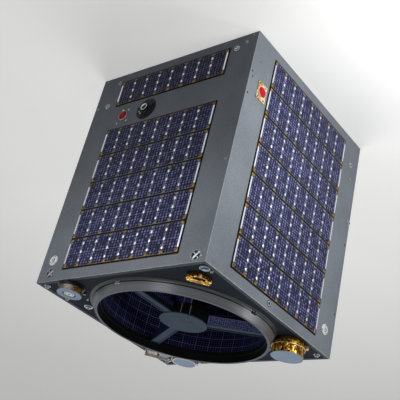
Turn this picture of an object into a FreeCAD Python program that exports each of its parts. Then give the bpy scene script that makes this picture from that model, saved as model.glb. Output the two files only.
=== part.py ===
import FreeCAD, Part
import os
from math import cos, radians, sin, sqrt

from FreeCAD import Vector

# Small Earth-imaging satellite: a square box of honeycomb panels round a reflecting telescope
# that looks out through the nadir deck. It stands on its flat zenith deck, so +Z is the
# telescope's line of sight. Millimetres throughout.

# --- box ---------------------------------------------------------------------------------
BODY_W = 600.0            # along X
BODY_D = 600.0            # along Y
BODY_H = 720.0            # along Z, zenith deck to the nadir edge of the side panels
PANEL_T = 12.0            # honeycomb side panel
ZENITH_T = 18.0
NADIR_T = 15.0
NADIR_SINK = 2.0          # nadir deck lies this far inside the panels' edge
EDGE_CHAMFER = 1.2

# --- handling inserts in the zenith deck --------------------------------------------------
INSERT_SPACING_X = 500.0
INSERT_SPACING_Y = 500.0
INSERT_R = 4.2
INSERT_DEPTH = 14.0

# --- solar arrays -------------------------------------------------------------------------
CELL_W = 48.5
CELL_H = 86.0
CELL_T = 0.8
CELL_CROP = 7.5           # cropped corner of a cell
CELL_GAP = 1.5
BOARD_T = 2.0
BOARD_BORDER = 3.2        # board above and below the cells
BOARD_END = 6.5           # board past the last cell, where the bus bar lies
BOARD_GAP = 1.0           # between the boards of two rows
BAR_W = 5.0
BAR_H = 62.0
BAR_T = 1.1
SIDE_MARGIN = 88.0        # least bare panel beside a row
END_MARGIN = 30.0         # least bare panel past the first and last rows
TRACKER_ROW = 1           # the front leaves this row out for the star tracker

# --- telescope ----------------------------------------------------------------------------
BARREL_R = 236.0          # inside radius
BARREL_WALL = 3.2
BARREL_LENGTH = 430.0
BARREL_PROUD = 7.0        # barrel's mouth above the nadir deck
BARREL_GAP = 0.4          # round the barrel in the nadir deck
FLANGE_W = 14.0           # flange that bolts the barrel under the nadir deck
FLANGE_T = 6.0
CELL_PLATE_T = 14.0       # plate that closes the barrel and carries the primary mirror
MIRROR_R = 205.0
MIRROR_HOLE_R = 46.0
MIRROR_EDGE_T = 34.0
MIRROR_DISH = 13.0        # depth of the dish at the hole
BAFFLE_R = 34.0
BAFFLE_WALL = 2.0
BAFFLE_LENGTH = 190.0
HUB_R = 68.5
HUB_T = 8.0
CAN_R = 56.0
CAN_H = 62.0
SECONDARY_R = 46.0
SECONDARY_T = 9.0
SECONDARY_SINK = 4.0      # secondary mirror inside the can's mouth
SECONDARY_GAP = 0.3
VANE_W = 27.0
VANE_DEPTH = 30.0
VANE_WALL = 2.4
VANE_RECESS = 3.0         # depth of the channel along a vane's outer face
VANE_SINK = 0.5           # vanes and hub below the barrel's mouth
VANE_ANGLES = (-90.0, 30.0, 150.0)

# --- equipment stack: batteries and electronics on the zenith deck ------------------------
STACK_MARGIN = 85.0       # from the outside of the box
STACK_H = 190.0

# --- separation ring ----------------------------------------------------------------------
RING_CLEARANCE = 2.3      # round the barrel
RING_WALL = 8.0           # across the lip's flat top
RING_BASE_H = 6.6
RING_TAPER = 11.0         # how much wider the lip is at the clamp groove than at its top
RING_FLARE = 9.5          # how far the foot runs out past the groove
RING_FLARE_EDGE = 0.8
RING_GROOVE_H = 1.8
RING_GROOVE_DEPTH = 3.2
RING_LIP_H = 18.9
LATCH_ANGLES = (-86.0, -174.0)
LATCH_T = 3.0             # how far a latch block stands out of the ring
LATCH_W = 5.0
LATCH_H = 8.0
LATCH_GAP = 5.0           # between the two blocks that the latch bolt joins
LATCH_BOLT_R = 1.2

# --- star tracker and sun sensors ----------------------------------------------------------
TRACKER_U = 67.0          # across the face, from its middle
# Steps of the star tracker's housing, from the panel out: radius, rise
TRACKER_STEPS = ((36.0, 2.0), (31.0, 2.0), (25.0, 2.2), (19.0, 2.3), (12.6, 2.5))
TRACKER_SEAT_R = 30.0     # part that sits in the panel
TRACKER_GAP = 0.3
GLASS_R = 9.0
GLASS_T = 1.6
GLASS_SINK = 2.5          # depth of the glass's recess
GLASS_GAP = 0.2
SENSOR_U = 161.0
SENSOR_RING_R = 17.0
SENSOR_RING_T = 2.5
SENSOR_DOME_R = 15.4
SENSOR_DOME_H = 6.0
SENSOR_DOME_CROWN = 3.5   # part of the dome's height that tapers
SENSOR_DOME_TOP_R = 9.0
SENSOR_GAP = 0.2
PLATE_INSET = 61.0        # plate's middle from the side edge of the left face
PLATE_W = 40.0
PLATE_H = 56.0
PLATE_T = 3.0

# --- antennas and boxes on the nadir deck ----------------------------------------------------
DECK_GAP = 2.0            # between the separation ring and what stands beside it
LARGE_INSET_X = 59.0
LARGE_R = 45.0
LARGE_H = 45.0
LARGE_COLLAR_R = 47.5
LARGE_GAP = 1.5           # from the separation ring's lip
LARGE_COLLAR_Z = 12.0
LARGE_COLLAR_H = 7.0
LARGE_COVER_T = 2.0
SMALL_INSET_X = 104.5
SMALL_INSET_Y = 40.0
SMALL_R = 32.0
SMALL_H = 27.0
SMALL_FOOT_R = 39.0
SMALL_FOOT_H = 4.0
SMALL_STEP_R = 36.0
SMALL_STEP_H = 4.0
SMALL_COVER_R = 35.0
SMALL_COVER_T = 2.2
SMALL_RECESS_R = 18.5
SMALL_BOSS_R = 15.0
SMALL_BOSS_T = 1.5
SMALL_SOCKET_R = 3.4
FAR_INSET_Y = 63.0
FAR_R = 38.0
FAR_GAP = 7.0             # from the separation ring's lip
FAR_H = 25.0
FAR_RIM_W = 3.0
FAR_RIM_H = 0.8           # rim above the cover
FAR_COVER_T = 2.0
FAR_COVER_GAP = 0.3
TRAY_NEAR_GAP = 6.5       # from the separation ring's lip to the tray
TRAY_W = 56.0
TRAY_H = 25.0
TRAY_WALL = 2.5
TRAY_FLOOR = 3.0
TRAY_EDGE_GAP = 8.7       # from the side panel to the tray's corner
TRAY_END_GAP = 2.0        # from the far antenna to the tray and to its end bracket
BRACKET_L = 12.0
BLANKET_SHARE = 0.493     # of the length inside the tray, the unit has the rest
BLANKET_W = 44.0
BLANKET_H = 19.0
UNIT_W = 20.0
UNIT_H = 17.0
UNIT_GAP = 2.0
PATCH_H = 19.0
FOIL_INSET = 82.0         # middle of the foil box's long side from both sides of the box
FOIL_HALF_L = 29.0
FOIL_SHOULDER_L = 33.0
FOIL_SHOULDER_X = 21.0    # shoulders and peak, out from the long side
FOIL_PEAK_X = 46.0
FOIL_H = 12.0
FOIL_SLOT_L = 33.0
FOIL_SLOT_W = 12.0
FOIL_SLOT_X = 25.0
FOIL_SLOT_DEPTH = 7.0
PLUG_R = 4.5              # connectors at the two near antennas
PLUG_H = 8.0
PLUG_REACH = 11.0
PLUG_AXIS_Z = 6.5         # plug's axis above the deck at the large antenna
LARGE_PLUG_ANGLE = 135.0
SMALL_PLUG_ANGLE = 103.7
SMALL_PLUG_GAP = 0.8

# --- fittings ---------------------------------------------------------------------------------
# Washer-and-hexagon fittings: washer radius, washer thickness, head's corner radius, head height
FITTINGS = {
    "cap": (12.5, 2.0, 7.5, 4.0),
    "large": (8.8, 1.6, 5.6, 5.0),
    "small": (6.2, 1.4, 4.2, 4.0),
    "nub": (4.0, 1.0, 2.8, 3.0),
}
# On the sides: face, side of its middle, inset from the side edge, height above the zenith deck
FACE_LUGS = (
    ("front", 1, 57.0, 119.0, "large"),
    ("front", 1, 79.0, 32.0, "small"),
    ("front", 1, 14.0, 118.0, "nub"),
    ("front", -1, 67.0, 44.0, "large"),
    ("front", -1, 35.0, 30.0, "nub"),
    ("left", -1, 48.4, 96.0, "large"),
    ("left", -1, 35.0, 140.0, "nub"),
    ("left", -1, 12.4, 286.0, "large"),
    ("right", 1, 48.4, 96.0, "large"),
    ("right", 1, 12.4, 286.0, "large"),
    ("right", -1, 48.4, 96.0, "large"),
    ("back", 1, 57.0, 119.0, "large"),
    ("back", 1, 67.0, 44.0, "large"),
    ("back", -1, 57.0, 119.0, "large"),
    ("back", -1, 67.0, 44.0, "large"),
)
# On the nadir deck's rim: side in X, inset in X, side in Y, inset in Y
DECK_LUGS = (
    (1, 22.0, -1, 25.0, "large"),
    (1, 21.0, -1, 106.0, "small"),
    (-1, 24.0, 1, 32.0, "large"),
    (1, 24.0, 1, 32.0, "large"),
    (-1, 20.5, -1, 54.0, "nub"),
)
CAP_ANGLE = -28.3         # cap beside the separation ring, round it from +X
CAP_GAP = 1.5
PIN_ANGLE = -42.5
PIN_R = 2.5
PIN_H = 8.0
# Round pockets near the nadir corners of the front and back: side, inset, depth below the edge
POCKETS = ((-1, 35.0, 20.0), (1, 46.0, 26.0))
POCKET_R = 13.5
POCKET_DEPTH = 8.0
POCKET_GAP = 0.5
SEAT_T = 2.0
BAR_GRIP_W = 8.5          # grip bar across a pocket's seat
BAR_GRIP_H = 5.0
BAR_GRIP_TURN = 45.0
FLANGE_INSET_X = 27.0     # two-hole flange in the corner by the foil box
FLANGE_INSET_Y = 34.0
CORNER_FLANGE_R = 13.5
CORNER_FLANGE_T = 3.0
CORNER_BOSS_R = 5.5
CORNER_BOSS_H = 4.0
CORNER_HOLE_R = 2.2
CORNER_HOLE_X = 9.0
# White caps: face, side of its middle, inset from the side edge, depth below the nadir edge
DISCS = (("front", 1, 45.0, 65.0), ("left", -1, 51.0, 68.0))
DISC_R = 15.5
DISC_T = 1.8
DISC_STEP_R = 9.5
DISC_STEP_T = 1.4

Z_AXIS = Vector(0, 0, 1)
ORIGIN = Vector(0, 0, 0)

# A face's turn about Z from the -Y face, its distance from the axis and its half width.
FACES = {
    "front": (0.0, BODY_D / 2, BODY_W / 2),
    "right": (90.0, BODY_W / 2, BODY_D / 2),
    "back": (180.0, BODY_D / 2, BODY_W / 2),
    "left": (270.0, BODY_W / 2, BODY_D / 2),
}

# --- worked out from the above -----------------------------------------------------------------
INNER_W = BODY_W - 2 * PANEL_T
INNER_D = BODY_D - 2 * PANEL_T
DECK_Z = BODY_H - NADIR_SINK
CELL_PITCH = CELL_W + CELL_GAP
BOARD_H = CELL_H + 2 * BOARD_BORDER
ROW_PITCH = BOARD_H + BOARD_GAP
ROW_COUNT = int((BODY_H - 2 * END_MARGIN) / ROW_PITCH)
ARRAY_Z = (BODY_H - ROW_COUNT * ROW_PITCH) / 2
TRACKER_Z = ARRAY_Z + (TRACKER_ROW + 0.5) * ROW_PITCH
BARREL_OUT_R = BARREL_R + BARREL_WALL
BARREL_TOP = DECK_Z + BARREL_PROUD
BARREL_FOOT = BARREL_TOP - BARREL_LENGTH
HUB_TOP = BARREL_TOP - VANE_SINK
RING_IN_R = BARREL_OUT_R + RING_CLEARANCE
RING_R = RING_IN_R + RING_WALL
RING_GROOVE_R = RING_R + RING_TAPER
RING_FOOT_R = RING_GROOVE_R + RING_FLARE
RING_GROOVE_Z = DECK_Z + RING_BASE_H
RING_LIP_Z = RING_GROOVE_Z + RING_GROOVE_H
LARGE_X = LARGE_INSET_X - BODY_W / 2
LARGE_Y = sqrt((RING_R + LARGE_COLLAR_R + LARGE_GAP) ** 2 - LARGE_X ** 2)
SMALL_X = BODY_W / 2 - SMALL_INSET_X
SMALL_Y = SMALL_INSET_Y - BODY_D / 2
FAR_Y = BODY_D / 2 - FAR_INSET_Y
FAR_X = sqrt((RING_R + FAR_R + FAR_GAP) ** 2 - FAR_Y ** 2)


def box(x0, y0, z0, dx, dy, dz):
    return Part.makeBox(dx, dy, dz, Vector(x0, y0, z0))


def slab(length, width, height):
    """Box on the XY plane with its middle on the Z axis."""
    return box(-length / 2, -width / 2, 0, length, width, height)


def cylinder(r, h, pos=ORIGIN, axis=Z_AXIS):
    return Part.makeCylinder(r, h, pos, axis)


def turned(points):
    """Solid of revolution about Z from (radius, z) corners."""
    corners = [Vector(r, 0, z) for r, z in points]
    wire = Part.makePolygon(corners + corners[:1])
    return Part.Face(wire).revolve(ORIGIN, Z_AXIS, 360)


def ring(r_in, r_out, z0, z1):
    return turned(((r_in, z0), (r_out, z0), (r_out, z1), (r_in, z1)))


def prism(points, height):
    """Upright solid on the XY plane from its plan's corners."""
    corners = [Vector(x, y, 0) for x, y in points]
    return Part.Face(Part.makePolygon(corners + corners[:1])).extrude(Vector(0, 0, height))


def on_face(shape, face, u=0.0, v=0.0, lift=0.0):
    """Seats a shape, drawn with its foot on the XY plane, on a side of the box: its X runs
    across the face, its Y up it and its Z out of it."""
    turn, distance, _ = FACES[face]
    placed = shape.copy()
    placed.rotate(ORIGIN, Vector(1, 0, 0), 90)
    placed.translate(Vector(u, -distance - lift, v))
    placed.rotate(ORIGIN, Z_AXIS, turn)
    return placed


def at(shape, x, y, z=DECK_Z, turn=0.0):
    placed = shape.copy()
    placed.rotate(ORIGIN, Z_AXIS, turn)
    placed.translate(Vector(x, y, z))
    return placed


def inset_u(face, side, inset):
    """Place across a face, an inset in from one of its side edges."""
    return side * (FACES[face][2] - inset)


def polar(radius, angle):
    return radius * cos(radians(angle)), radius * sin(radians(angle))


def save(name, *solids):
    shape = solids[0] if len(solids) == 1 else Part.makeCompound(solids)
    shape.exportStep(f"parts/{name}.step")


# --- box of panels -------------------------------------------------------------------------
def side_panel(face):
    """The front and back panels span the whole width and have the round pockets; the other two
    fit between them."""
    half = FACES[face][2]
    if face in ("left", "right"):
        return on_face(box(PANEL_T - half, 0, -PANEL_T, 2 * (half - PANEL_T), BODY_H, PANEL_T), face)
    panel = box(-half, 0, -PANEL_T, 2 * half, BODY_H, PANEL_T)
    outer = [e for e in panel.Edges if abs(e.BoundBox.ZMax) < 1e-6 and e.BoundBox.ZLength < 1e-6]
    panel = panel.makeChamfer(EDGE_CHAMFER, outer)
    for side, inset, depth in POCKETS:
        place = Vector(inset_u(face, side, inset), BODY_H - depth, -POCKET_DEPTH)
        panel = panel.cut(cylinder(POCKET_R, POCKET_DEPTH, place))
    if face == "front":
        place = Vector(TRACKER_U, TRACKER_Z, -PANEL_T)
        panel = panel.cut(cylinder(TRACKER_SEAT_R + TRACKER_GAP, PANEL_T, place))
    return on_face(panel, face)


def zenith_deck():
    deck = slab(INNER_W, INNER_D, ZENITH_T)
    for sx in (-1, 1):
        for sy in (-1, 1):
            place = Vector(sx * INSERT_SPACING_X / 2, sy * INSERT_SPACING_Y / 2, 0)
            deck = deck.cut(cylinder(INSERT_R, INSERT_DEPTH, place))
    return deck


def nadir_deck():
    deck = slab(INNER_W, INNER_D, NADIR_T).cut(cylinder(BARREL_OUT_R + BARREL_GAP, NADIR_T))
    return at(deck, 0, 0, DECK_Z - NADIR_T)


def equipment_stack():
    stack = slab(BODY_W - 2 * STACK_MARGIN, BODY_D - 2 * STACK_MARGIN, STACK_H)
    return at(stack, 0, 0, ZENITH_T)


# --- solar arrays --------------------------------------------------------------------------
def cell():
    """One cell with cropped corners, its middle at the origin."""
    w, h, c = CELL_W / 2, CELL_H / 2, CELL_CROP
    corners = ((w, h - c), (w - c, h), (c - w, h), (-w, h - c),
               (-w, c - h), (c - w, -h), (w - c, -h), (w, c - h))
    return prism(corners, CELL_T)


def array_rows(face):
    """Boards, cells and bus bars of a face's rows, as many as fit between its margins."""
    columns = int(2 * (FACES[face][2] - SIDE_MARGIN) / CELL_PITCH)
    board_w = columns * CELL_PITCH - CELL_GAP + 2 * BOARD_END
    board = box(-board_w / 2, -BOARD_H / 2, 0, board_w, BOARD_H, BOARD_T)
    bar = box(-BAR_W / 2, -BAR_H / 2, 0, BAR_W, BAR_H, BAR_T)
    one_cell = cell()
    boards, cells, bars = [], [], []
    for row in range(ROW_COUNT):
        if face == "front" and row == TRACKER_ROW:
            continue
        z = ARRAY_Z + (row + 0.5) * ROW_PITCH
        boards.append(on_face(board, face, 0, z))
        for column in range(columns):
            u = (column - (columns - 1) / 2) * CELL_PITCH
            cells.append(on_face(one_cell, face, u, z, BOARD_T))
        for side in (-1, 1):
            bars.append(on_face(bar, face, side * (board_w - BOARD_END) / 2, z, BOARD_T))
    return boards, cells, bars


# --- telescope -----------------------------------------------------------------------------
def barrel():
    """Open tube with a flange that seats under the nadir deck."""
    r0, r1, r2 = BARREL_R, BARREL_OUT_R, BARREL_OUT_R + FLANGE_W
    seat = DECK_Z - NADIR_T
    return turned(((r0, BARREL_FOOT), (r1, BARREL_FOOT), (r1, seat - FLANGE_T), (r2, seat - FLANGE_T),
                   (r2, seat), (r1, seat), (r1, BARREL_TOP), (r0, BARREL_TOP)))


def mirror_cell():
    return cylinder(BARREL_OUT_R, CELL_PLATE_T, Vector(0, 0, BARREL_FOOT - CELL_PLATE_T))


def primary_mirror():
    """Thick blank with a hole, its upper face dished."""
    z0, z1 = BARREL_FOOT, BARREL_FOOT + MIRROR_EDGE_T
    return turned(((MIRROR_HOLE_R, z0), (MIRROR_R, z0), (MIRROR_R, z1), (MIRROR_HOLE_R, z1 - MIRROR_DISH)))


def inner_baffle():
    return ring(BAFFLE_R - BAFFLE_WALL, BAFFLE_R, BARREL_FOOT, BARREL_FOOT + BAFFLE_LENGTH)


def vane(angle):
    """I-section strut from the hub to the barrel wall, with a shallow channel on its outer face."""
    inner_w = VANE_W - 2 * VANE_WALL
    under = VANE_DEPTH - VANE_RECESS - VANE_WALL
    bar = box(0, -VANE_W / 2, HUB_TOP - VANE_DEPTH, BARREL_OUT_R, VANE_W, VANE_DEPTH)
    bar = bar.cut(box(0, -inner_w / 2, HUB_TOP - VANE_RECESS, BARREL_OUT_R, inner_w, VANE_RECESS))
    bar = bar.cut(box(0, -inner_w / 2, HUB_TOP - VANE_DEPTH, BARREL_OUT_R, inner_w, under))
    bar.rotate(ORIGIN, Z_AXIS, angle)
    bar = bar.common(cylinder(BARREL_R, HUB_TOP))
    return bar.cut(cylinder(HUB_R, HUB_TOP))


def secondary_hub():
    """Plate with a skirt that the vanes meet."""
    skirt_r = HUB_R - VANE_WALL
    plate_z, skirt_z = HUB_TOP - HUB_T, HUB_TOP - VANE_DEPTH
    return turned(((0, plate_z), (skirt_r, plate_z), (skirt_r, skirt_z), (HUB_R, skirt_z),
                   (HUB_R, HUB_TOP), (0, HUB_TOP)))


def secondary_can():
    top = HUB_TOP - HUB_T
    return ring(SECONDARY_R, CAN_R, top - CAN_H, top)


def secondary_mirror():
    foot = HUB_TOP - HUB_T - CAN_H + SECONDARY_SINK
    return cylinder(SECONDARY_R - SECONDARY_GAP, SECONDARY_T, Vector(0, 0, foot))


# --- separation ring -----------------------------------------------------------------------
def small_plug_place():
    dx, dy = polar(SMALL_FOOT_R + SMALL_PLUG_GAP + PLUG_R, SMALL_PLUG_ANGLE)
    return SMALL_X + dx, SMALL_Y + dy


def relieved(shape):
    """The ring cut back where the antennas, a connector and the instrument tray stand close."""
    plug_x, plug_y = small_plug_place()
    for r, x, y in ((LARGE_COLLAR_R, LARGE_X, LARGE_Y), (FAR_R, FAR_X, FAR_Y),
                    (SMALL_FOOT_R, SMALL_X, SMALL_Y), (PLUG_R, plug_x, plug_y)):
        shape = shape.cut(at(cylinder(r + DECK_GAP, BODY_H), x, y))
    near, _, start, _, bracket = tray_frame()
    span = bracket + BRACKET_L - start + 2 * DECK_GAP
    return shape.cut(on_diagonal(box(near - DECK_GAP, start - DECK_GAP, 0, TRAY_W, span, TRAY_H)))


def ring_base():
    """Foot that flares out over the deck in a hollow sweep, up to the clamp groove."""
    z0, z1 = DECK_Z, RING_GROOVE_Z
    sweep = z1 - z0 - RING_FLARE_EDGE
    profile = [(RING_IN_R, z0), (RING_FOOT_R, z0), (RING_FOOT_R, z0 + RING_FLARE_EDGE)]
    for out, up in ((0.55, 0.12), (0.2, 0.45), (0.0, 1.0)):
        profile.append((RING_GROOVE_R + out * RING_FLARE, z0 + RING_FLARE_EDGE + up * sweep))
    return relieved(turned(profile + [(RING_IN_R, z1)]))


def ring_groove():
    return relieved(ring(RING_IN_R, RING_GROOVE_R - RING_GROOVE_DEPTH, RING_GROOVE_Z, RING_LIP_Z))


def ring_lip():
    """Lip that narrows from the groove to its flat top."""
    top = RING_LIP_Z + RING_LIP_H
    return relieved(turned(((RING_IN_R, RING_LIP_Z), (RING_GROOVE_R, RING_LIP_Z), (RING_R, top),
                            (RING_IN_R, top))))


def latch(angle):
    """Two end blocks of the clamp strip and the bolt that joins them, astride the groove."""
    middle = (RING_GROOVE_Z + RING_LIP_Z) / 2
    z0 = middle - LATCH_H / 2
    reach = RING_GROOVE_R + LATCH_T
    span = LATCH_GAP + 2 * LATCH_W
    blocks = box(RING_R, -span / 2, z0, reach - RING_R, span, LATCH_H)
    blocks = blocks.cut(box(RING_R, -LATCH_GAP / 2, z0, reach - RING_R, LATCH_GAP, LATCH_H))
    bolt = cylinder(LATCH_BOLT_R, span, Vector(reach - LATCH_T / 2, -span / 2, middle), Vector(0, 1, 0))
    made = blocks.fuse(bolt)
    made.rotate(ORIGIN, Z_AXIS, angle)
    for part in (ring_base(), ring_groove(), ring_lip()):
        made = made.cut(part)
    return made.removeSplitter()


# --- star tracker, sun sensors and plate ------------------------------------------------------
def tracker_top():
    return sum(rise for _, rise in TRACKER_STEPS)


def star_tracker():
    """Stepped round housing that seats in the front panel, with a recess for its glass."""
    points = [(0, -PANEL_T), (TRACKER_SEAT_R, -PANEL_T), (TRACKER_SEAT_R, 0)]
    z = 0.0
    for r, rise in TRACKER_STEPS:
        points += [(r, z), (r, z + rise)]
        z += rise
    points += [(GLASS_R, z), (GLASS_R, z - GLASS_SINK), (0, z - GLASS_SINK)]
    return on_face(turned(points), "front", TRACKER_U, TRACKER_Z)


def tracker_glass():
    glass = cylinder(GLASS_R - GLASS_GAP, GLASS_T)
    return on_face(glass, "front", TRACKER_U, TRACKER_Z, tracker_top() - GLASS_SINK)


def sensor_ring():
    return ring(SENSOR_DOME_R + SENSOR_GAP, SENSOR_RING_R, 0, SENSOR_RING_T)


def sensor_dome():
    shoulder = SENSOR_DOME_H - SENSOR_DOME_CROWN
    return turned(((0, 0), (SENSOR_DOME_R, 0), (SENSOR_DOME_R, shoulder),
                   (SENSOR_DOME_TOP_R, SENSOR_DOME_H), (0, SENSOR_DOME_H)))


def sensor_plate():
    return box(-PLATE_W / 2, -PLATE_H / 2, 0, PLATE_W, PLATE_H, PLATE_T)


# --- nadir deck equipment -----------------------------------------------------------------------
def large_antenna():
    r, top = LARGE_R, LARGE_H - LARGE_COVER_T
    z0, z1 = LARGE_COLLAR_Z, LARGE_COLLAR_Z + LARGE_COLLAR_H
    body = turned(((0, 0), (r, 0), (r, z0), (LARGE_COLLAR_R, z0), (LARGE_COLLAR_R, z1), (r, z1),
                   (r, top), (0, top)))
    return at(body, LARGE_X, LARGE_Y)


def large_cover():
    cover = cylinder(LARGE_R, LARGE_COVER_T)
    return at(cover, LARGE_X, LARGE_Y, DECK_Z + LARGE_H - LARGE_COVER_T)


def small_antenna():
    """Stepped foot and body; the foot is cut back where the front panel's edge stands above the deck."""
    z1, z2 = SMALL_FOOT_H, SMALL_FOOT_H + SMALL_STEP_H
    top = SMALL_H - SMALL_COVER_T
    body = turned(((0, 0), (SMALL_FOOT_R, 0), (SMALL_FOOT_R, z1), (SMALL_STEP_R, z1), (SMALL_STEP_R, z2),
                   (SMALL_R, z2), (SMALL_R, top), (0, top)))
    body = at(body, SMALL_X, SMALL_Y)
    edge = box(-BODY_W / 2, -BODY_D, 0, BODY_W, BODY_D - INNER_D / 2 + DECK_GAP / 4, BODY_H + DECK_GAP / 4)
    return body.cut(edge)


def small_cover():
    cover = ring(SMALL_RECESS_R, SMALL_COVER_R, 0, SMALL_COVER_T)
    return at(cover, SMALL_X, SMALL_Y, DECK_Z + SMALL_H - SMALL_COVER_T)


def small_boss():
    boss = ring(SMALL_SOCKET_R, SMALL_BOSS_R, 0, SMALL_BOSS_T)
    return at(boss, SMALL_X, SMALL_Y, DECK_Z + SMALL_H - SMALL_COVER_T)


def far_antenna():
    """Cup whose rim stands round the cover."""
    seat = FAR_H - FAR_RIM_H - FAR_COVER_T
    inner = FAR_R - FAR_RIM_W
    body = turned(((0, 0), (FAR_R, 0), (FAR_R, FAR_H), (inner, FAR_H), (inner, seat), (0, seat)))
    return at(body, FAR_X, FAR_Y)


def far_cover():
    cover = cylinder(FAR_R - FAR_RIM_W - FAR_COVER_GAP, FAR_COVER_T)
    return at(cover, FAR_X, FAR_Y, DECK_Z + FAR_H - FAR_RIM_H - FAR_COVER_T)


def tray_frame():
    """The tray's radial limits and its ends along the tangent, seen from the +X+Y diagonal."""
    near = RING_R + TRAY_NEAR_GAP
    far = near + TRAY_W
    start = far - sqrt(2) * (INNER_W / 2 - TRAY_EDGE_GAP)
    antenna = (FAR_Y - FAR_X) / sqrt(2)
    return near, far, start, antenna - FAR_R - TRAY_END_GAP, antenna + FAR_R + TRAY_END_GAP


def on_diagonal(shape):
    """From the tray's own axes, X along the +X+Y diagonal, to the row frame."""
    return at(shape, 0, 0, DECK_Z, 45)


def tray():
    """White-walled tray up to the far antenna, and the end bracket on the antenna's other side."""
    near, far, start, end, bracket = tray_frame()
    t = TRAY_WALL
    outer = box(near, start, 0, TRAY_W, end - start, TRAY_H)
    inner = box(near + t, start + t, TRAY_FLOOR, TRAY_W - 2 * t, end - start - 2 * t, TRAY_H)
    foot = box(near, bracket, 0, TRAY_W / 2, BRACKET_L, TRAY_FLOOR)
    wall = box(near, bracket, 0, TRAY_W / 2, TRAY_WALL, TRAY_H)
    return on_diagonal(outer.cut(inner)), on_diagonal(foot.fuse(wall).removeSplitter())


def tray_contents():
    """The blanket pillow at the tray's first end, then the electronics unit with the patch antenna
    outside it."""
    near, far, start, end, _ = tray_frame()
    inside = end - start - 2 * TRAY_WALL - 3 * UNIT_GAP
    blanket_l = BLANKET_SHARE * inside
    unit_l = inside - blanket_l
    patch_r = min(TRAY_W - 2 * TRAY_WALL - UNIT_W - 2 * UNIT_GAP, unit_l) / 2
    blanket_y = start + TRAY_WALL + UNIT_GAP
    unit_y = blanket_y + blanket_l + UNIT_GAP
    blanket = box((near + far - BLANKET_W) / 2, blanket_y, TRAY_FLOOR, BLANKET_W, blanket_l, BLANKET_H)
    unit = box(near + TRAY_WALL + UNIT_GAP, unit_y, TRAY_FLOOR, UNIT_W, unit_l, UNIT_H)
    patch = cylinder(patch_r, PATCH_H - TRAY_FLOOR,
                     Vector(far - TRAY_WALL - UNIT_GAP / 2 - patch_r, unit_y + unit_l / 2, TRAY_FLOOR))
    return on_diagonal(blanket), on_diagonal(unit), on_diagonal(patch)


def foil_box():
    """Five-sided instrument box in a foil wrap, its long side to the ring, with a slot in its top."""
    plan = ((0, -FOIL_HALF_L), (FOIL_SHOULDER_X, -FOIL_SHOULDER_L), (FOIL_PEAK_X, 0),
            (FOIL_SHOULDER_X, FOIL_SHOULDER_L), (0, FOIL_HALF_L))
    r = FOIL_SLOT_W / 2
    span = FOIL_SLOT_L / 2 - r
    z0 = FOIL_H - FOIL_SLOT_DEPTH
    body = prism(plan, FOIL_H).cut(box(FOIL_SLOT_X - r, -span, z0, 2 * r, 2 * span, FOIL_SLOT_DEPTH))
    for side in (-1, 1):
        body = body.cut(cylinder(r, FOIL_SLOT_DEPTH, Vector(FOIL_SLOT_X, side * span, z0)))
    return at(body, FOIL_INSET - BODY_W / 2, FOIL_INSET - BODY_D / 2, DECK_Z, 225)


def antenna_connectors():
    """Plug out of the large antenna's side, and the upright one beside the small antenna."""
    side_plug = cylinder(PLUG_R, PLUG_REACH, Vector(LARGE_R, 0, PLUG_AXIS_Z), Vector(1, 0, 0))
    side_plug = side_plug.fuse(box(LARGE_R, -PLUG_R, 0, PLUG_REACH, 2 * PLUG_R, PLUG_AXIS_Z))
    side_plug = side_plug.cut(cylinder(LARGE_R, LARGE_H)).removeSplitter()
    return (at(side_plug, LARGE_X, LARGE_Y, DECK_Z, LARGE_PLUG_ANGLE),
            at(cylinder(PLUG_R, PLUG_H), *small_plug_place()))


# --- fittings ---------------------------------------------------------------------------------
def fitting(kind):
    """Round washer under a hexagonal head."""
    washer_r, washer_t, head_r, head_h = FITTINGS[kind]
    head = prism([polar(head_r, 60 * k) for k in range(6)], washer_t + head_h)
    return cylinder(washer_r, washer_t).fuse(head).removeSplitter()


def lugs():
    made = [on_face(fitting(kind), face, inset_u(face, side, inset), height)
            for face, side, inset, height, kind in FACE_LUGS]
    for side_x, inset_x, side_y, inset_y, kind in DECK_LUGS:
        made.append(at(fitting(kind), side_x * (BODY_W / 2 - inset_x), side_y * (BODY_D / 2 - inset_y)))
    cap_x, cap_y = polar(RING_FOOT_R + CAP_GAP + FITTINGS["cap"][0], CAP_ANGLE)
    pin_x, pin_y = polar(RING_FOOT_R + DECK_GAP + PIN_R, PIN_ANGLE)
    return made + [at(fitting("cap"), cap_x, cap_y), at(cylinder(PIN_R, PIN_H), pin_x, pin_y)]


def pocket_fittings():
    """Round seat with a grip bar across it, in each pocket of the front and back panels."""
    seat_r = POCKET_R - POCKET_GAP
    bar = box(-seat_r, -BAR_GRIP_W / 2, 0, 2 * seat_r, BAR_GRIP_W, SEAT_T + BAR_GRIP_H)
    bar = bar.common(cylinder(seat_r, POCKET_DEPTH))
    made = bar.fuse(cylinder(seat_r, SEAT_T)).removeSplitter()
    made.rotate(ORIGIN, Z_AXIS, BAR_GRIP_TURN)
    return [on_face(made, face, inset_u(face, side, inset), BODY_H - depth, -POCKET_DEPTH)
            for face in ("front", "back") for side, inset, depth in POCKETS]


def corner_flange():
    """Two-hole flange with a boss, in the corner by the foil box."""
    boss = cylinder(CORNER_BOSS_R, CORNER_FLANGE_T + CORNER_BOSS_H)
    made = cylinder(CORNER_FLANGE_R, CORNER_FLANGE_T).fuse(boss)
    for side in (-1, 1):
        made = made.cut(cylinder(CORNER_HOLE_R, CORNER_FLANGE_T, Vector(side * CORNER_HOLE_X, 0, 0)))
    return at(made.removeSplitter(), FLANGE_INSET_X - BODY_W / 2, FLANGE_INSET_Y - BODY_D / 2, DECK_Z, -45)


def disc():
    return turned(((0, 0), (DISC_R, 0), (DISC_R, DISC_T), (DISC_STEP_R, DISC_T),
                   (DISC_STEP_R, DISC_T + DISC_STEP_T), (0, DISC_T + DISC_STEP_T)))


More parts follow.
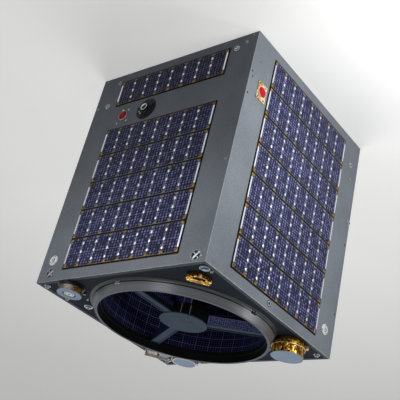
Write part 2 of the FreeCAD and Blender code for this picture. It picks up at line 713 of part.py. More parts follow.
def main():
    os.makedirs("parts", exist_ok=True)
    save("equipment_stack", equipment_stack())
    save("zenith_deck", zenith_deck())
    save("nadir_deck", nadir_deck())
    all_bars = []
    for face in FACES:
        save(f"panel_{face}", side_panel(face))
        boards, cells, bars = array_rows(face)
        save(f"boards_{face}", *boards)
        save(f"cells_{face}", *cells)
        all_bars += bars
    save("bus_bars", *all_bars)
    save("telescope_barrel", barrel())
    save("mirror_cell", mirror_cell())
    save("primary_mirror", primary_mirror())
    save("inner_baffle", inner_baffle())
    save("spider_vanes", *[vane(angle) for angle in VANE_ANGLES])
    save("secondary_hub", secondary_hub())
    save("secondary_can", secondary_can())
    save("secondary_mirror", secondary_mirror())
    save("ring_base", ring_base())
    save("ring_groove", ring_groove())
    save("ring_lip", ring_lip())
    save("ring_latches", *[latch(angle) for angle in LATCH_ANGLES])
    save("star_tracker", star_tracker())
    save("tracker_glass", tracker_glass())
    plate_u = inset_u("left", 1, PLATE_INSET)
    save("sensor_plate", on_face(sensor_plate(), "left", plate_u, TRACKER_Z))
    for name, shape in (("sensor_rings", sensor_ring()), ("sensor_domes", sensor_dome())):
        save(name, on_face(shape, "front", SENSOR_U, TRACKER_Z),
             on_face(shape, "left", plate_u, TRACKER_Z, PLATE_T))
    save("large_antenna", large_antenna())
    save("large_antenna_cover", large_cover())
    save("small_antenna", small_antenna())
    save("small_antenna_cover", small_cover())
    save("small_antenna_boss", small_boss())
    save("far_antenna", far_antenna())
    save("far_antenna_cover", far_cover())
    save("antenna_connectors", *antenna_connectors())
    save("instrument_tray", *tray())
    blanket, unit, patch = tray_contents()
    save("tray_blanket", blanket)
    save("tray_unit", unit)
    save("tray_patch", patch)
    save("foil_box", foil_box())
    save("lugs", *lugs())
    save("pocket_fittings", *pocket_fittings())
    save("corner_flange", corner_flange())
    save("cover_discs", *[on_face(disc(), face, inset_u(face, side, inset), BODY_H - depth)
                          for face, side, inset, depth in DISCS])


main()
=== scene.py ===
from math import cos, pi, radians, sin, sqrt

import bmesh
import bpy
from mathutils import Matrix, Vector, noise


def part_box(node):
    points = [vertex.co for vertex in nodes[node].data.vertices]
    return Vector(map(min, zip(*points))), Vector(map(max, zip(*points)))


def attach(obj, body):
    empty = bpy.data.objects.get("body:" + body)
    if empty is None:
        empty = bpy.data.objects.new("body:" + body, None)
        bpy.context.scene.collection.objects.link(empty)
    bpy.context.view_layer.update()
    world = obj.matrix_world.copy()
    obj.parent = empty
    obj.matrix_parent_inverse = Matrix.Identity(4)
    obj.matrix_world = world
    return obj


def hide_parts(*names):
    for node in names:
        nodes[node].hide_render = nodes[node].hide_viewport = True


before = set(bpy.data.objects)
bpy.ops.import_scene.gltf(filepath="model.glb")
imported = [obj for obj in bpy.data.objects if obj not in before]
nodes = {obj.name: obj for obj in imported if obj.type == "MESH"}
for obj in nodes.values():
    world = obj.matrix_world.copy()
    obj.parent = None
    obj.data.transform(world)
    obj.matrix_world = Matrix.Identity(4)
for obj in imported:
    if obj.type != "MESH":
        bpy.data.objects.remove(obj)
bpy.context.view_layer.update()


# --- side panels and zenith deck ----------------------------------------------
# Aluminium-faced honeycomb panels with a satin grey conversion coat. The front and back span the
# whole width and the sides fit between them, so the corners show a joint line and a bright edge,
# partly wear and partly a painted highlight.
def srgb(code):
    """A hexadecimal colour as the linear colour that a shader socket takes."""
    channels = [int(code[i:i + 2], 16) / 255 for i in (0, 2, 4)]
    linear = [c / 12.92 if c <= 0.04045 else ((c + 0.055) / 1.055) ** 2.4 for c in channels]
    return (*linear, 1.0)


def add(tree, kind, inputs=(), **settings):
    """A shader node with its settings; each input is a value or a socket to link from."""
    made = tree.nodes.new("ShaderNode" + kind)
    for key, value in settings.items():
        setattr(made, key, value)
    for key, value in dict(inputs).items():
        if isinstance(value, bpy.types.NodeSocket):
            tree.links.new(value, made.inputs[key])
        else:
            made.inputs[key].default_value = value
    return made


def calc(tree, operation, *values, clamp=False):
    """The result of a Math node."""
    return add(tree, "Math", dict(enumerate(values)), operation=operation, use_clamp=clamp).outputs[0]


def minus(tree, first, second):
    """A difference."""
    return calc(tree, "SUBTRACT", first, second)


def times(tree, first, second):
    """The product of two values."""
    return calc(tree, "MULTIPLY", first, second)


def apart(tree, first, second):
    """The distance between two values."""
    return calc(tree, "ABSOLUTE", minus(tree, first, second))


def mix(tree, factor, first, second):
    """Two colours mixed by a factor; a colour is a code or a socket."""
    first, second = [srgb(tone) if isinstance(tone, str) else tone for tone in (first, second)]
    return add(tree, "Mix", {0: factor, 6: first, 7: second}, data_type="RGBA").outputs[2]


def ramp(tree, value, low, high, start=0.0, end=1.0):
    """A value carried smoothly from one range to another."""
    made = add(tree, "MapRange", {0: value, 1: low, 2: high, 3: start, 4: end})
    made.interpolation_type = "SMOOTHSTEP"
    return made.outputs[0]


def split(tree, place):
    """The X, Y and Z of a place."""
    return add(tree, "SeparateXYZ", {0: place}).outputs


def clouds(tree, place, scale, detail=2.0, roughness=0.5):
    """The value of a noise texture."""
    made = add(tree, "TexNoise", {"Vector": place, "Scale": scale, "Detail": detail, "Roughness": roughness})
    return made.outputs[0]


def effect(name, inputs, outputs):
    """A node group with its named sockets, and the two ends of its tree."""
    tree = bpy.data.node_groups.new(name, "ShaderNodeTree")
    for label, kind, value in inputs:
        socket = tree.interface.new_socket(label, in_out="INPUT", socket_type="NodeSocket" + kind)
        if value is not None:
            socket.default_value = value
    for label in outputs:
        tree.interface.new_socket(label, in_out="OUTPUT", socket_type="NodeSocketFloat")
    return tree, tree.nodes.new("NodeGroupInput").outputs, tree.nodes.new("NodeGroupOutput").inputs


def use(tree, group, **inputs):
    """An effect placed in a material, with its inputs by name."""
    made = tree.nodes.new("ShaderNodeGroup")
    made.node_tree = group
    for key, value in inputs.items():
        socket = made.inputs[key.replace("_", " ")]
        if isinstance(value, bpy.types.NodeSocket):
            tree.links.new(value, socket)
        else:
            socket.default_value = value
    return made.outputs


def finish(name, **constants):
    """A material with its constant sockets set, its tree, its shader's inputs and object coordinates."""
    material = bpy.data.materials.new(name)
    material.use_nodes = True
    tree = material.node_tree
    shader = tree.nodes["Principled BSDF"]
    for key, value in constants.items():
        shader.inputs[key.replace("_", " ")].default_value = value
    return material, tree, shader.inputs, add(tree, "TexCoord").outputs["Object"]


def colour(tree, shader, value):
    """Links a material's colour."""
    tree.links.new(value, shader["Base Color"])


def roughen(tree, shader, value, low, high):
    """Carries a grain to a range of roughness."""
    tree.links.new(ramp(tree, value, 0.2, 0.8, low, high), shader["Roughness"])


def bump(tree, shader, height, distance, strength=1.0):
    """Raises the surface by a height map."""
    made = add(tree, "Bump", {"Height": height, "Distance": distance, "Strength": strength})
    tree.links.new(made.outputs[0], shader["Normal"])


def dress(material, *names):
    """Gives CAD nodes their finish."""
    for name in names:
        nodes[name].data.materials.clear()
        nodes[name].data.materials.append(material)


# Fine grain of a coated or blasted metal face, with slow clouds of tone across it.
grain, given, result = effect(
    "metal grain",
    [("Place", "Vector", None), ("Grain Scale", "Float", 900.0), ("Cloud Scale", "Float", 9.0)],
    ["Grain", "Cloud"])
slow = clouds(grain, given["Place"], given["Cloud Scale"], 4.0, 0.6)
grain.links.new(clouds(grain, given["Place"], given["Grain Scale"]), result["Grain"])
grain.links.new(ramp(grain, slow, 0.3, 0.7), result["Cloud"])


def grains(tree, place, grain_scale, cloud_scale):
    """The metal grain and its clouds."""
    return use(tree, grain, Place=place, Grain_Scale=grain_scale, Cloud_Scale=cloud_scale)


def coated(name, low, high, grain_scale, cloud_scale, depth=None, rough=None, **constants):
    """A finish of two clouded tones, with a grain of some depth and a range of roughness."""
    material, tree, shader, place = finish(name, **constants)
    tones = grains(tree, place, grain_scale, cloud_scale)
    colour(tree, shader, mix(tree, tones["Cloud"], low, high))
    if rough:
        roughen(tree, shader, tones["Grain"], *rough)
    if depth:
        bump(tree, shader, tones["Grain"], depth)
    return material


HALF_BODY = -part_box("panel_front")[0].y
BODY_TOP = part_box("panel_front")[1].z
DECK_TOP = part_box("nadir_deck")[1].z

# Bare bright metal along the box's outer edges, by the distance from each of them; it is partly wear and
# partly a painted highlight.
edge_wear_and_glint, given, result = effect(
    "box edge wear and glint", [("Place", "Vector", None), ("Width", "Float", 0.0016)], ["Wear"])
parts = split(edge_wear_and_glint, given["Place"])
near_x = calc(edge_wear_and_glint, "SUBTRACT", HALF_BODY, calc(edge_wear_and_glint, "ABSOLUTE", parts[0]))
near_y = calc(edge_wear_and_glint, "SUBTRACT", HALF_BODY, calc(edge_wear_and_glint, "ABSOLUTE", parts[1]))
near_top = calc(edge_wear_and_glint, "SUBTRACT", BODY_TOP, parts[2])
near_end = calc(edge_wear_and_glint, "MINIMUM", near_top, parts[2])
corner = calc(edge_wear_and_glint, "MAXIMUM", near_x, near_y)
side_end = calc(edge_wear_and_glint, "MAXIMUM", calc(edge_wear_and_glint, "MINIMUM", near_x, near_y), near_end)
closest = calc(edge_wear_and_glint, "MINIMUM", corner, side_end)
ragged = clouds(edge_wear_and_glint, given["Place"], 120.0, 3.0)
reach = times(edge_wear_and_glint, given["Width"], ramp(edge_wear_and_glint, ragged, 0.3, 0.7, 0.8, 1.2))
edge_wear_and_glint.links.new(calc(edge_wear_and_glint, "SUBTRACT", 1.0, ramp(edge_wear_and_glint, closest, 0.0, reach), clamp=True),
                    result["Wear"])

panel_skin, tree, shader, place = finish("satin panel", Metallic=0.1, Specular_IOR_Level=0.2)
tones = grains(tree, place, 270.0, 7.0)
worn = use(tree, edge_wear_and_glint, Place=place, Width=0.0021)
height = split(tree, place)[2]
# The panel's end at the nadir deck is painted dark, a painted shadow of the gap to the deck; the bright
# outer edge is laid over it.
gap_shadow = ramp(tree, height, BODY_TOP - 0.0008, BODY_TOP - 0.0003)
skin = mix(tree, tones["Cloud"], "787e86", "858c94")
skin = mix(tree, ramp(tree, tones["Grain"], 0.35, 0.65, 0.3, 0.0), skin, "51575e")
skin = mix(tree, ramp(tree, tones["Grain"], 0.6, 0.75, 0.0, 0.35), skin, "a2a8af")
skin = mix(tree, gap_shadow, skin, "1f242b")
# The bright edges are partly wear and partly a painted highlight.
colour(tree, shader, mix(tree, worn["Wear"], skin, "b1b5ba"))
roughen(tree, shader, tones["Grain"], 0.48, 0.62)
bump(tree, shader, tones["Grain"], 0.0003)
dress(panel_skin, "panel_front", "panel_back", "panel_left", "panel_right", "zenith_deck")

# A side of the box as a matrix: X across the face, Y up it from the zenith edge, Z out of it.
FACE_TURNS = {"front": 0, "right": 90, "back": 180, "left": 270}
UPRIGHT = Matrix(((1, 0, 0, 0), (0, 0, -1, -HALF_BODY), (0, 1, 0, 0), (0, 0, 0, 1)))
SIDES = {face: Matrix.Rotation(radians(turn), 4, "Z") @ UPRIGHT for face, turn in FACE_TURNS.items()}


def centre(node):
    """The middle of a CAD node's box."""
    return [(low + high) / 2 for low, high in zip(*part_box(node))]


def on_face(face, across, up, out=0.0, turn=0.0):
    """The place of a shape drawn on the XY plane, seated on a side of the box."""
    return SIDES[face] @ Matrix.Translation((across, up, out)) @ Matrix.Rotation(turn, 4, "Z")


def on_deck(x, y, height=0.0, turn=0.0):
    """The place of a shape drawn on the XY plane, seated on the nadir deck."""
    return Matrix.Translation((x, y, DECK_TOP + height)) @ Matrix.Rotation(turn, 4, "Z")


def shape(bm, name="shape"):
    """The bmesh as a mesh, for a piece or to be stamped many times."""
    mesh = bpy.data.meshes.new(name)
    bm.to_mesh(mesh)
    bm.free()
    return mesh


def put(name, data):
    """A new object in the scene."""
    made = bpy.data.objects.new(name, data)
    bpy.context.scene.collection.objects.link(made)
    return made


def piece(name, bm, material, smooth=35.0):
    """The bmesh as a finished piece on the satellite's only body, smooth between its sharp edges."""
    mesh = shape(bm, name)
    mesh.materials.append(material)
    mesh.shade_smooth()
    mesh.set_sharp_from_angle(angle=radians(smooth))
    made = put(name, mesh)
    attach(made, "root")
    return made


def stamp(bm, mesh, place):
    """A copy of a shape at a place."""
    before = len(bm.verts)
    bm.from_mesh(mesh)
    bm.verts.ensure_lookup_table()
    bmesh.ops.transform(bm, matrix=place, verts=bm.verts[before:])


def turned(profile, steps=48):
    """A bmesh spun about Z from (radius, z) corners."""
    bm = bmesh.new()
    line = [bm.verts.new((r, 0, z)) for r, z in profile]
    edges = [bm.edges.new(pair) for pair in zip(line, line[1:])]
    bmesh.ops.spin(bm, geom=line + edges, cent=(0, 0, 0), axis=(0, 0, 1), angle=2 * pi, steps=steps,
                   use_merge=True)
    bmesh.ops.remove_doubles(bm, verts=bm.verts, dist=1e-6)
    bmesh.ops.recalc_face_normals(bm, faces=bm.faces)
    return bm


def ease_upright(bm, width, height, segments):
    """Rounds the upright edges of a block of some height."""
    upright = [e for e in bm.edges if abs(e.verts[0].co.z - e.verts[1].co.z) > height / 2]
    bmesh.ops.bevel(bm, geom=upright, offset=width, offset_type="OFFSET", affect="EDGES",
                    segments=segments, profile=0.5, material=-1)


def block(length, width, height):
    """A bmesh box standing on the XY plane, its middle on the Z axis."""
    bm = bmesh.new()
    size = Matrix.Diagonal((length, width, height, 1.0))
    bmesh.ops.create_cube(bm, size=1.0, matrix=Matrix.Translation((0, 0, height / 2)) @ size)
    return bm


def ease(bm, width, segments=1, angle=35.0):
    """Rounds every edge that turns by more than the angle."""
    sharp = [e for e in bm.edges if len(e.link_faces) == 2 and e.calc_face_angle() > radians(angle)]
    bmesh.ops.bevel(bm, geom=sharp, offset=width, offset_type="OFFSET", affect="EDGES",
                    segments=segments, profile=0.5, material=-1)
    return bm


# Countersunk screws hold the front and back panels, and the side panels keep open inserts. The black
# rings round the screws are painted shade in the countersinks' gaps, and the black discs on the sides
# are painted shade in the open inserts.
screw_steel = coated("screw steel", "9aa0a6", "c8ccd1", 1500.0, 90.0,
                     0.00005, (0.3, 0.48), Metallic=0.85)

flat_black = coated("flat black", "08080a", "111216", 400.0, 20.0,
                    0.0002, Roughness=0.7, Specular_IOR_Level=0.15)


def screw(radius):
    """Head with a round socket, level with the skin."""
    head = turned([(0, -radius / 3), (radius * 0.45, -radius / 3), (radius * 0.5, radius / 8),
                   (radius * 0.85, radius / 8), (radius, 0), (radius, -radius / 8)], 12)
    return shape(head)


def seat(inner, outer, proud=0.0001):
    """Flat ring that lies in a face, a little proud of it."""
    return shape(turned([(inner, -proud), (inner, proud), (outer, proud), (outer, -proud),
                         (inner, -proud)], 16))


SCREW_R = 0.0024
ZENITH_SCREWS = [(k * 0.094, 0.0095) for k in range(-3, 4)]
SIDE_HOLES = [(0.292, 0.137), (0.287, 0.153), (0.292, 0.211), (-0.290, 0.588), (-0.290, 0.360)]
FACE_SCREWS = [(-0.283, 0.704), (0.288, 0.640), (0.291, 0.420), (-0.291, 0.420)]
heads, gap_shades = bmesh.new(), bmesh.new()
for face in FACE_TURNS:
    if face in ("left", "right"):
        for across, up in SIDE_HOLES:
            stamp(gap_shades, seat(0.0002, SCREW_R * 1.2), on_face(face, across, up))
        continue
    for across, up in FACE_SCREWS + ZENITH_SCREWS:
        stamp(heads, screw(SCREW_R), on_face(face, across, up, turn=across * 40))
        stamp(gap_shades, seat(SCREW_R, SCREW_R * 1.3), on_face(face, across, up))
piece("panel_screws", heads, screw_steel)
piece("panel_screw_gap_shades", gap_shades, flat_black)

# --- nadir deck ---------------------------------------------------------------
# The deck that looks at the Earth, with a matt blue-grey coat, let in a little below the panels'
# edge. It carries the separation ring, the antennas, the instrument tray and the lifting points.
deck_skin, tree, shader, place = finish("deck coat", Roughness=0.68, Specular_IOR_Level=0.04)
tones = grains(tree, place, 300.0, 6.0)
coat = mix(tree, tones["Cloud"], "191e25", "232a33")
colour(tree, shader, mix(tree, ramp(tree, tones["Grain"], 0.35, 0.7, 0.0, 0.4), coat, "12161b"))
bump(tree, shader, tones["Grain"], 0.0002)
dress(deck_skin, "nadir_deck", "equipment_stack")

# --- solar arrays -------------------------------------------------------------
# Rows of cropped indigo cells under cover glass, on boards faced with amber film. Silver tabs join
# neighbouring cells, and a silver bus bar closes each end of a row.
CELL_PITCH, CELL_COLUMNS = 0.050, 8
ROW_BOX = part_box("boards_left")
ROW_COUNT = 7
ROW_GAP = 0.001
ROW_PITCH = (ROW_BOX[1].z - ROW_BOX[0].z + ROW_GAP) / ROW_COUNT
ROW_START = ROW_BOX[0].z
CELL_BORDER = 0.0032
BOARD_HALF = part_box("boards_front")[1].x
GLASS_OUT = -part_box("cells_front")[0].y - HALF_BODY

# Distance to the nearest of evenly spaced lines, as a soft mask of the line's width.
stripes, given, result = effect(
    "even stripes",
    [("Along", "Float", 0.0), ("Start", "Float", 0.0), ("Pitch", "Float", 0.01),
     ("Half Width", "Float", 0.001)],
    ["Stripe"])
wave = calc(stripes, "PINGPONG", calc(stripes, "SUBTRACT", given["Along"], given["Start"]),
            calc(stripes, "DIVIDE", given["Pitch"], 2.0))
inner = times(stripes, given["Half Width"], 0.6)
outer = times(stripes, given["Half Width"], 1.4)
stripes.links.new(ramp(stripes, wave, inner, outer, 1.0, 0.0), result["Stripe"])


def stripe(tree, along, start, pitch, half_width):
    """The mask of evenly spaced lines along a distance."""
    return use(tree, stripes, Along=along, Start=start, Pitch=pitch, Half_Width=half_width)["Stripe"]


def from_array_end(tree, height, bare_row):
    """Distance to the array's nearest end, or to an end of the row that is left bare."""
    nearest = calc(tree, "MINIMUM", minus(tree, height, ROW_START),
                   minus(tree, ROW_BOX[1].z, height))
    if not bare_row:
        return nearest
    away = apart(tree, height, ROW_START + ROW_PITCH * 1.5)
    return calc(tree, "MINIMUM", nearest, apart(tree, away, ROW_PITCH / 2))


FLECK_W, FLECK_H, FLECK_HALF = CELL_PITCH / 5, 0.0083, 0.0028
CELL_ROUND, JOINT_HALF, SEAM_HALF = 0.0118, 0.0010, 0.0036


def cell_glass(axis):
    """Indigo silicon with rows of paler flecks and a thin contact line, under cover glass."""
    material, tree, shader, place = finish("solar cell " + "xy"[axis], Coat_Weight=0.06, Coat_Roughness=0.15,
                                           Roughness=0.45, Specular_IOR_Level=0.08)
    parts = split(tree, place)
    across = parts[axis]
    row_up = minus(tree, parts[2], ROW_START)
    up = minus(tree, calc(tree, "FLOORED_MODULO", row_up, ROW_PITCH), CELL_BORDER)
    column = stripe(tree, across, FLECK_W / 2, FLECK_W, FLECK_HALF)
    level = stripe(tree, up, FLECK_H / 2, FLECK_H, FLECK_HALF)
    fleck = times(tree, column, level)
    flat = add(tree, "CombineXYZ", {0: across, 1: parts[2]}).outputs[0]
    snapped = add(tree, "VectorMath", {0: flat, 1: (FLECK_W, FLECK_H, 1.0)}, operation="SNAP").outputs[0]
    spot = add(tree, "TexWhiteNoise", {0: snapped}).outputs[0]
    broken = clouds(tree, place, 330.0)
    strength = times(tree, ramp(tree, spot, 0.0, 1.0, 0.15, 1.0),
                     ramp(tree, broken, 0.35, 0.55, 0.5, 1.0))
    batch = clouds(tree, place, 14.0, 1.0)
    silicon = mix(tree, ramp(tree, batch, 0.35, 0.65), "0d0e28", "161834")
    face = mix(tree, times(tree, fleck, strength), silicon, "8589bc")
    line = stripe(tree, up, ROW_PITCH / 2, ROW_PITCH, 0.0007)
    thread = stripe(tree, across, 0.0, FLECK_W * 2.5, 0.0005)
    line = calc(tree, "MAXIMUM", line, times(tree, thread, 0.5))
    face = mix(tree, times(tree, line, 0.4), face, "9298c4")
    to_joint = calc(tree, "PINGPONG", across, CELL_PITCH / 2)
    to_seam = calc(tree, "PINGPONG", row_up, ROW_PITCH / 2)
    legs = [calc(tree, "MAXIMUM", 0.0, minus(tree, CELL_ROUND + start, away))
            for away, start in ((to_joint, JOINT_HALF), (to_seam, SEAM_HALF))]
    span = calc(tree, "SQRT", calc(tree, "ADD", *[times(tree, leg, leg) for leg in legs]))
    from_end = from_array_end(tree, parts[2], axis == 0)
    under = mix(tree, ramp(tree, from_end, 0.020, 0.024), "a8853f", "716f63")
    cropped = ramp(tree, span, CELL_ROUND - 0.0003, CELL_ROUND + 0.0004)
    colour(tree, shader, mix(tree, cropped, face, under))
    bump(tree, shader, fleck, 0.0001, 0.3)
    return material


dress(cell_glass(0), "cells_front", "cells_back")
dress(cell_glass(1), "cells_left", "cells_right")


def amber_board(axis, bare_row):
    """Amber film on the board: gold at the array's border, browner between rows, and painted dark at its
    edges and seams as the shade in the gaps between boards.
    """
    name = "array board " + "xy"[axis] + str(int(bare_row))
    material, tree, shader, place = finish(name, Metallic=0.45, Specular_IOR_Level=0.1)
    parts = split(tree, place)
    # The seams between rows and the boards' sides are painted dark, as painted shade in the gaps.
    seam_shade = stripe(tree, parts[2], ROW_START, ROW_PITCH, 0.0030)
    side = minus(tree, BOARD_HALF, calc(tree, "ABSOLUTE", parts[axis]))
    side_shade = ramp(tree, side, 0.0012, 0.0024, 1.0, 0.0)
    crinkle = clouds(tree, place, 170.0, 4.0, 0.65)
    film = mix(tree, ramp(tree, crinkle, 0.35, 0.7), "65502a", "c39f58")
    brown = mix(tree, ramp(tree, crinkle, 0.35, 0.7), "66645a", "a09d8e")
    border = calc(tree, "MINIMUM", from_array_end(tree, parts[2], bare_row), side)
    tone = mix(tree, ramp(tree, border, 0.012, 0.02), film, brown)
    dark = calc(tree, "MAXIMUM", seam_shade, side_shade)
    colour(tree, shader, mix(tree, dark, tone, "060504"))
    roughen(tree, shader, crinkle, 0.25, 0.5)
    bump(tree, shader, crinkle, 0.0006, 0.6)
    return material


dress(amber_board(0, True), "boards_front")
dress(amber_board(0, False), "boards_back")
dress(amber_board(1, False), "boards_left", "boards_right")

silver = coated("silver strip", "dfe2ee", "f4f5fb", 1200.0, 60.0, 0.00005, (0.3, 0.45), Metallic=0.85)
dress(silver, "bus_bars")

TAB_W, TAB_H, TAB_T, TAB_SPACING = 0.0060, 0.0084, 0.0007, 0.0262
WIRE_W, WIRE_T = 0.0006, 0.0003


def tab():
    """Soft-cornered silver tab over a joint between two cells."""
    bm = block(TAB_W, TAB_H, TAB_T)
    ease_upright(bm, TAB_W * 0.38, TAB_T, 2)
    top = [f for f in bm.faces if f.normal.z > 0.9]
    bmesh.ops.inset_region(bm, faces=top, thickness=TAB_T * 0.8, depth=TAB_T * 0.5)
    return shape(bm)


tab_shape = tab()
wire_shape = shape(block(WIRE_W, 2 * TAB_SPACING, WIRE_T))
for face in FACE_TURNS:
    bm = bmesh.new()
    for row in range(ROW_COUNT):
        if face == "front" and row == 1:
            continue
        middle = ROW_START + ROW_PITCH * (row + 0.5)
        for joint in range(1, CELL_COLUMNS):
            across = (joint - CELL_COLUMNS / 2) * CELL_PITCH
            stamp(bm, wire_shape, on_face(face, across, middle, GLASS_OUT - WIRE_T / 2))
            for k in (-1, 0, 1):
                stamp(bm, tab_shape, on_face(face, across, middle + k * TAB_SPACING, GLASS_OUT - TAB_T / 4))
    piece("cell_tabs_" + face, bm, silver)

# A thin black band round each array is a painted shadow of the gap round it.
EDGE_SHADE_W, EDGE_SHADE_T = 0.0026, 0.0006
bm = bmesh.new()
for face in FACE_TURNS:
    spans = ((0, 1), (2, ROW_COUNT)) if face == "front" else ((0, ROW_COUNT),)
    for first, last in spans:
        low, high = ROW_START + first * ROW_PITCH, ROW_START + last * ROW_PITCH - ROW_GAP
        for up in (low - EDGE_SHADE_W / 2, high + EDGE_SHADE_W / 2):
            stamp(bm, shape(block(2 * (BOARD_HALF + EDGE_SHADE_W), EDGE_SHADE_W, EDGE_SHADE_T)), on_face(face, 0, up))
        for side in (-1, 1):
            stamp(bm, shape(block(EDGE_SHADE_W, high - low, EDGE_SHADE_T)),
                  on_face(face, side * (BOARD_HALF + EDGE_SHADE_W / 2), (low + high) / 2))
piece("array_edge_shadows", bm, flat_black)

# --- telescope ----------------------------------------------------------------
# A black tube with a ribbed, dark lining that catches stray light. The primary mirror closes its
# foot, and a three-vaned spider at its mouth carries the hub with the secondary mirror under it.
BARREL_TOP, BARREL_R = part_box("telescope_barrel")[1].z, 0.236
HUB_R, _, HUB_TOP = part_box("secondary_hub")[1]

lining, tree, shader, place = finish("telescope lining", Roughness=0.5, Specular_IOR_Level=0.1)
parts = split(tree, place)
around = times(tree, calc(tree, "ARCTAN2", parts[1], parts[0]), BARREL_R)
LINING_HOOP, LINING_RIB = 0.026, 2 * pi * BARREL_R / 36
hoop = stripe(tree, parts[2], BARREL_TOP, LINING_HOOP, 0.0009)
rib = stripe(tree, around, 0.0, LINING_RIB, 0.0009)
fine_hoop = stripe(tree, parts[2], BARREL_TOP, LINING_HOOP / 4, 0.0016)
fine_rib = stripe(tree, around, 0.0, LINING_RIB / 5, 0.0017)
blotch = clouds(tree, place, 160.0, 3.0)
fine_lines = times(tree, calc(tree, "ADD", fine_hoop, fine_rib), 0.12)
dashes = times(tree, calc(tree, "ADD", times(tree, fine_hoop, fine_rib), fine_lines),
               ramp(tree, blotch, 0.3, 0.6, 0.2, 0.95))
cloth = mix(tree, dashes, "07080f", "484b8c")
cloth = mix(tree, times(tree, calc(tree, "MAXIMUM", hoop, rib), 0.42), cloth, "8187b4")
mouth = ramp(tree, parts[2], BARREL_TOP - 0.012, BARREL_TOP - 0.010)
colour(tree, shader, mix(tree, mouth, cloth, "08080a"))
bump(tree, shader, hoop, 0.0004, 0.5)
dress(lining, "telescope_barrel")
dress(flat_black, "mirror_cell", "inner_baffle", "ring_groove")

# The lining cloth covers part of the secondary's can under a framed strip, and the rest of the can is
# painted black as the shade it lies in.
CAN_R, STRIP_EDGES = 0.056, (radians(-142.0), radians(-121.0))
can_cover, tree, shader, place = finish("can cover", Roughness=0.55, Specular_IOR_Level=0.1)
parts = split(tree, place)
bearing = calc(tree, "ARCTAN2", parts[1], parts[0])
around = times(tree, bearing, CAN_R)
warp = stripe(tree, around, 0.0, 0.0058, 0.0013)
weft = stripe(tree, parts[2], HUB_TOP, 0.0052, 0.0012)
blotch = clouds(tree, place, 160.0, 3.0)
dashes = times(tree, calc(tree, "MAXIMUM", warp, weft), ramp(tree, blotch, 0.35, 0.6, 0.15, 0.9))
cloth = mix(tree, dashes, "07081a", "484c92")
covered = times(tree, ramp(tree, bearing, STRIP_EDGES[0] - 0.01, STRIP_EDGES[0] + 0.01),
                ramp(tree, bearing, radians(-30), radians(-28), 1.0, 0.0))
# Outside the strip the can is black, a painted shade.
face = mix(tree, covered, "060608", cloth)
frames = [ramp(tree, apart(tree, bearing, edge), 0.014, 0.03, 1.0, 0.0) for edge in STRIP_EDGES]
colour(tree, shader, mix(tree, calc(tree, "MAXIMUM", *frames), face, "8a8f9c"))
bump(tree, shader, dashes, 0.0002)
dress(can_cover, "secondary_can")

mirror, tree, shader, place = finish("mirror coat", Metallic=1.0)
tones = grains(tree, place, 300.0, 6.0)
colour(tree, shader, mix(tree, tones["Cloud"], "d3d8de", "e2e6ea"))
tree.links.new(ramp(tree, tones["Cloud"], 0.0, 1.0, 0.03, 0.06), shader["Roughness"])
dress(mirror, "primary_mirror", "secondary_mirror")


def from_axis(tree, parts):
    """Distance from the telescope's axis."""
    squares = calc(tree, "ADD", times(tree, parts[0], parts[0]), times(tree, parts[1], parts[1]))
    return calc(tree, "SQRT", squares)


# The spider's faces that look out are coated grey. Behind them it is black, which on the vanes' sides
# is painted shade, with the lining cloth lower on the vanes' sides.
spider_grey, tree, shader, place = finish("spider coat", Roughness=0.65, Specular_IOR_Level=0.08)
tones = grains(tree, place, 320.0, 14.0)
coat = mix(tree, tones["Cloud"], "303b47", "3a4655")
coat = mix(tree, ramp(tree, tones["Grain"], 0.35, 0.7, 0.0, 0.3), coat, "2b343e")
VANE_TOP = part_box("spider_vanes")[1].z
parts = split(tree, place)
front = ramp(tree, parts[2], VANE_TOP - 0.0038, VANE_TOP - 0.0034)
bearing = calc(tree, "ARCTAN2", parts[1], parts[0])
radius = from_axis(tree, parts)
warp = stripe(tree, radius, 0.0, 0.0082, 0.0017)
weft = stripe(tree, parts[2], VANE_TOP, LINING_HOOP / 4, 0.0016)
cloth = mix(tree, times(tree, warp, weft), "07080f", "4c509c")
# The black of painted shade reaches 14 mm below the spider's face on the -X side, and 4 mm below it on the
# +X side, where the cloth starts.
cloth_top = ramp(tree, parts[0], 0.02, 0.04, VANE_TOP - 0.014, VANE_TOP - 0.004)
below = calc(tree, "LESS_THAN", parts[2], cloth_top)
on_vane = calc(tree, "GREATER_THAN", radius, HUB_R + 0.001)
behind = mix(tree, times(tree, below, on_vane), "08090c", cloth)
for edge in STRIP_EDGES:
    away = apart(tree, bearing, edge)
    behind = mix(tree, ramp(tree, away, 0.012, 0.024, 1.0, 0.0), behind, "858b97")
colour(tree, shader, mix(tree, front, behind, coat))
bump(tree, shader, tones["Grain"], 0.0001)
dress(spider_grey, "spider_vanes", "secondary_hub")

# A strip of the dark lining cloth in a thin pale frame is bonded along one vane's side.
VANE_TURN, VANE_HALF, STRIP_T = radians(150), 0.0135, 0.0006
STRIP_H, STRIP_START, STRIP_END = 0.026, HUB_R + 0.002, 0.232
STRIP_Z = HUB_TOP - 0.0015 - STRIP_H
strip_cloth, tree, shader, place = finish("strip cloth", Roughness=0.5, Specular_IOR_Level=0.15)
parts = split(tree, place)
along = calc(tree, "ADD", times(tree, parts[0], cos(VANE_TURN)), times(tree, parts[1], sin(VANE_TURN)))
warp = stripe(tree, along, 0.0, 0.0062, 0.0014)
weft = stripe(tree, parts[2], STRIP_Z, 0.0052, 0.0012)
weave = times(tree, calc(tree, "MAXIMUM", warp, weft),
              ramp(tree, clouds(tree, place, 220.0), 0.35, 0.6, 0.3, 1.0))
cloth = mix(tree, weave, "262a55", "959bd6")
edge = calc(tree, "MAXIMUM", ramp(tree, along, STRIP_START + 0.001, STRIP_START + 0.002, 1.0, 0.0),
            ramp(tree, parts[2], STRIP_Z + 0.001, STRIP_Z + 0.002, 1.0, 0.0))
colour(tree, shader, mix(tree, edge, cloth, "a9b0bd"))
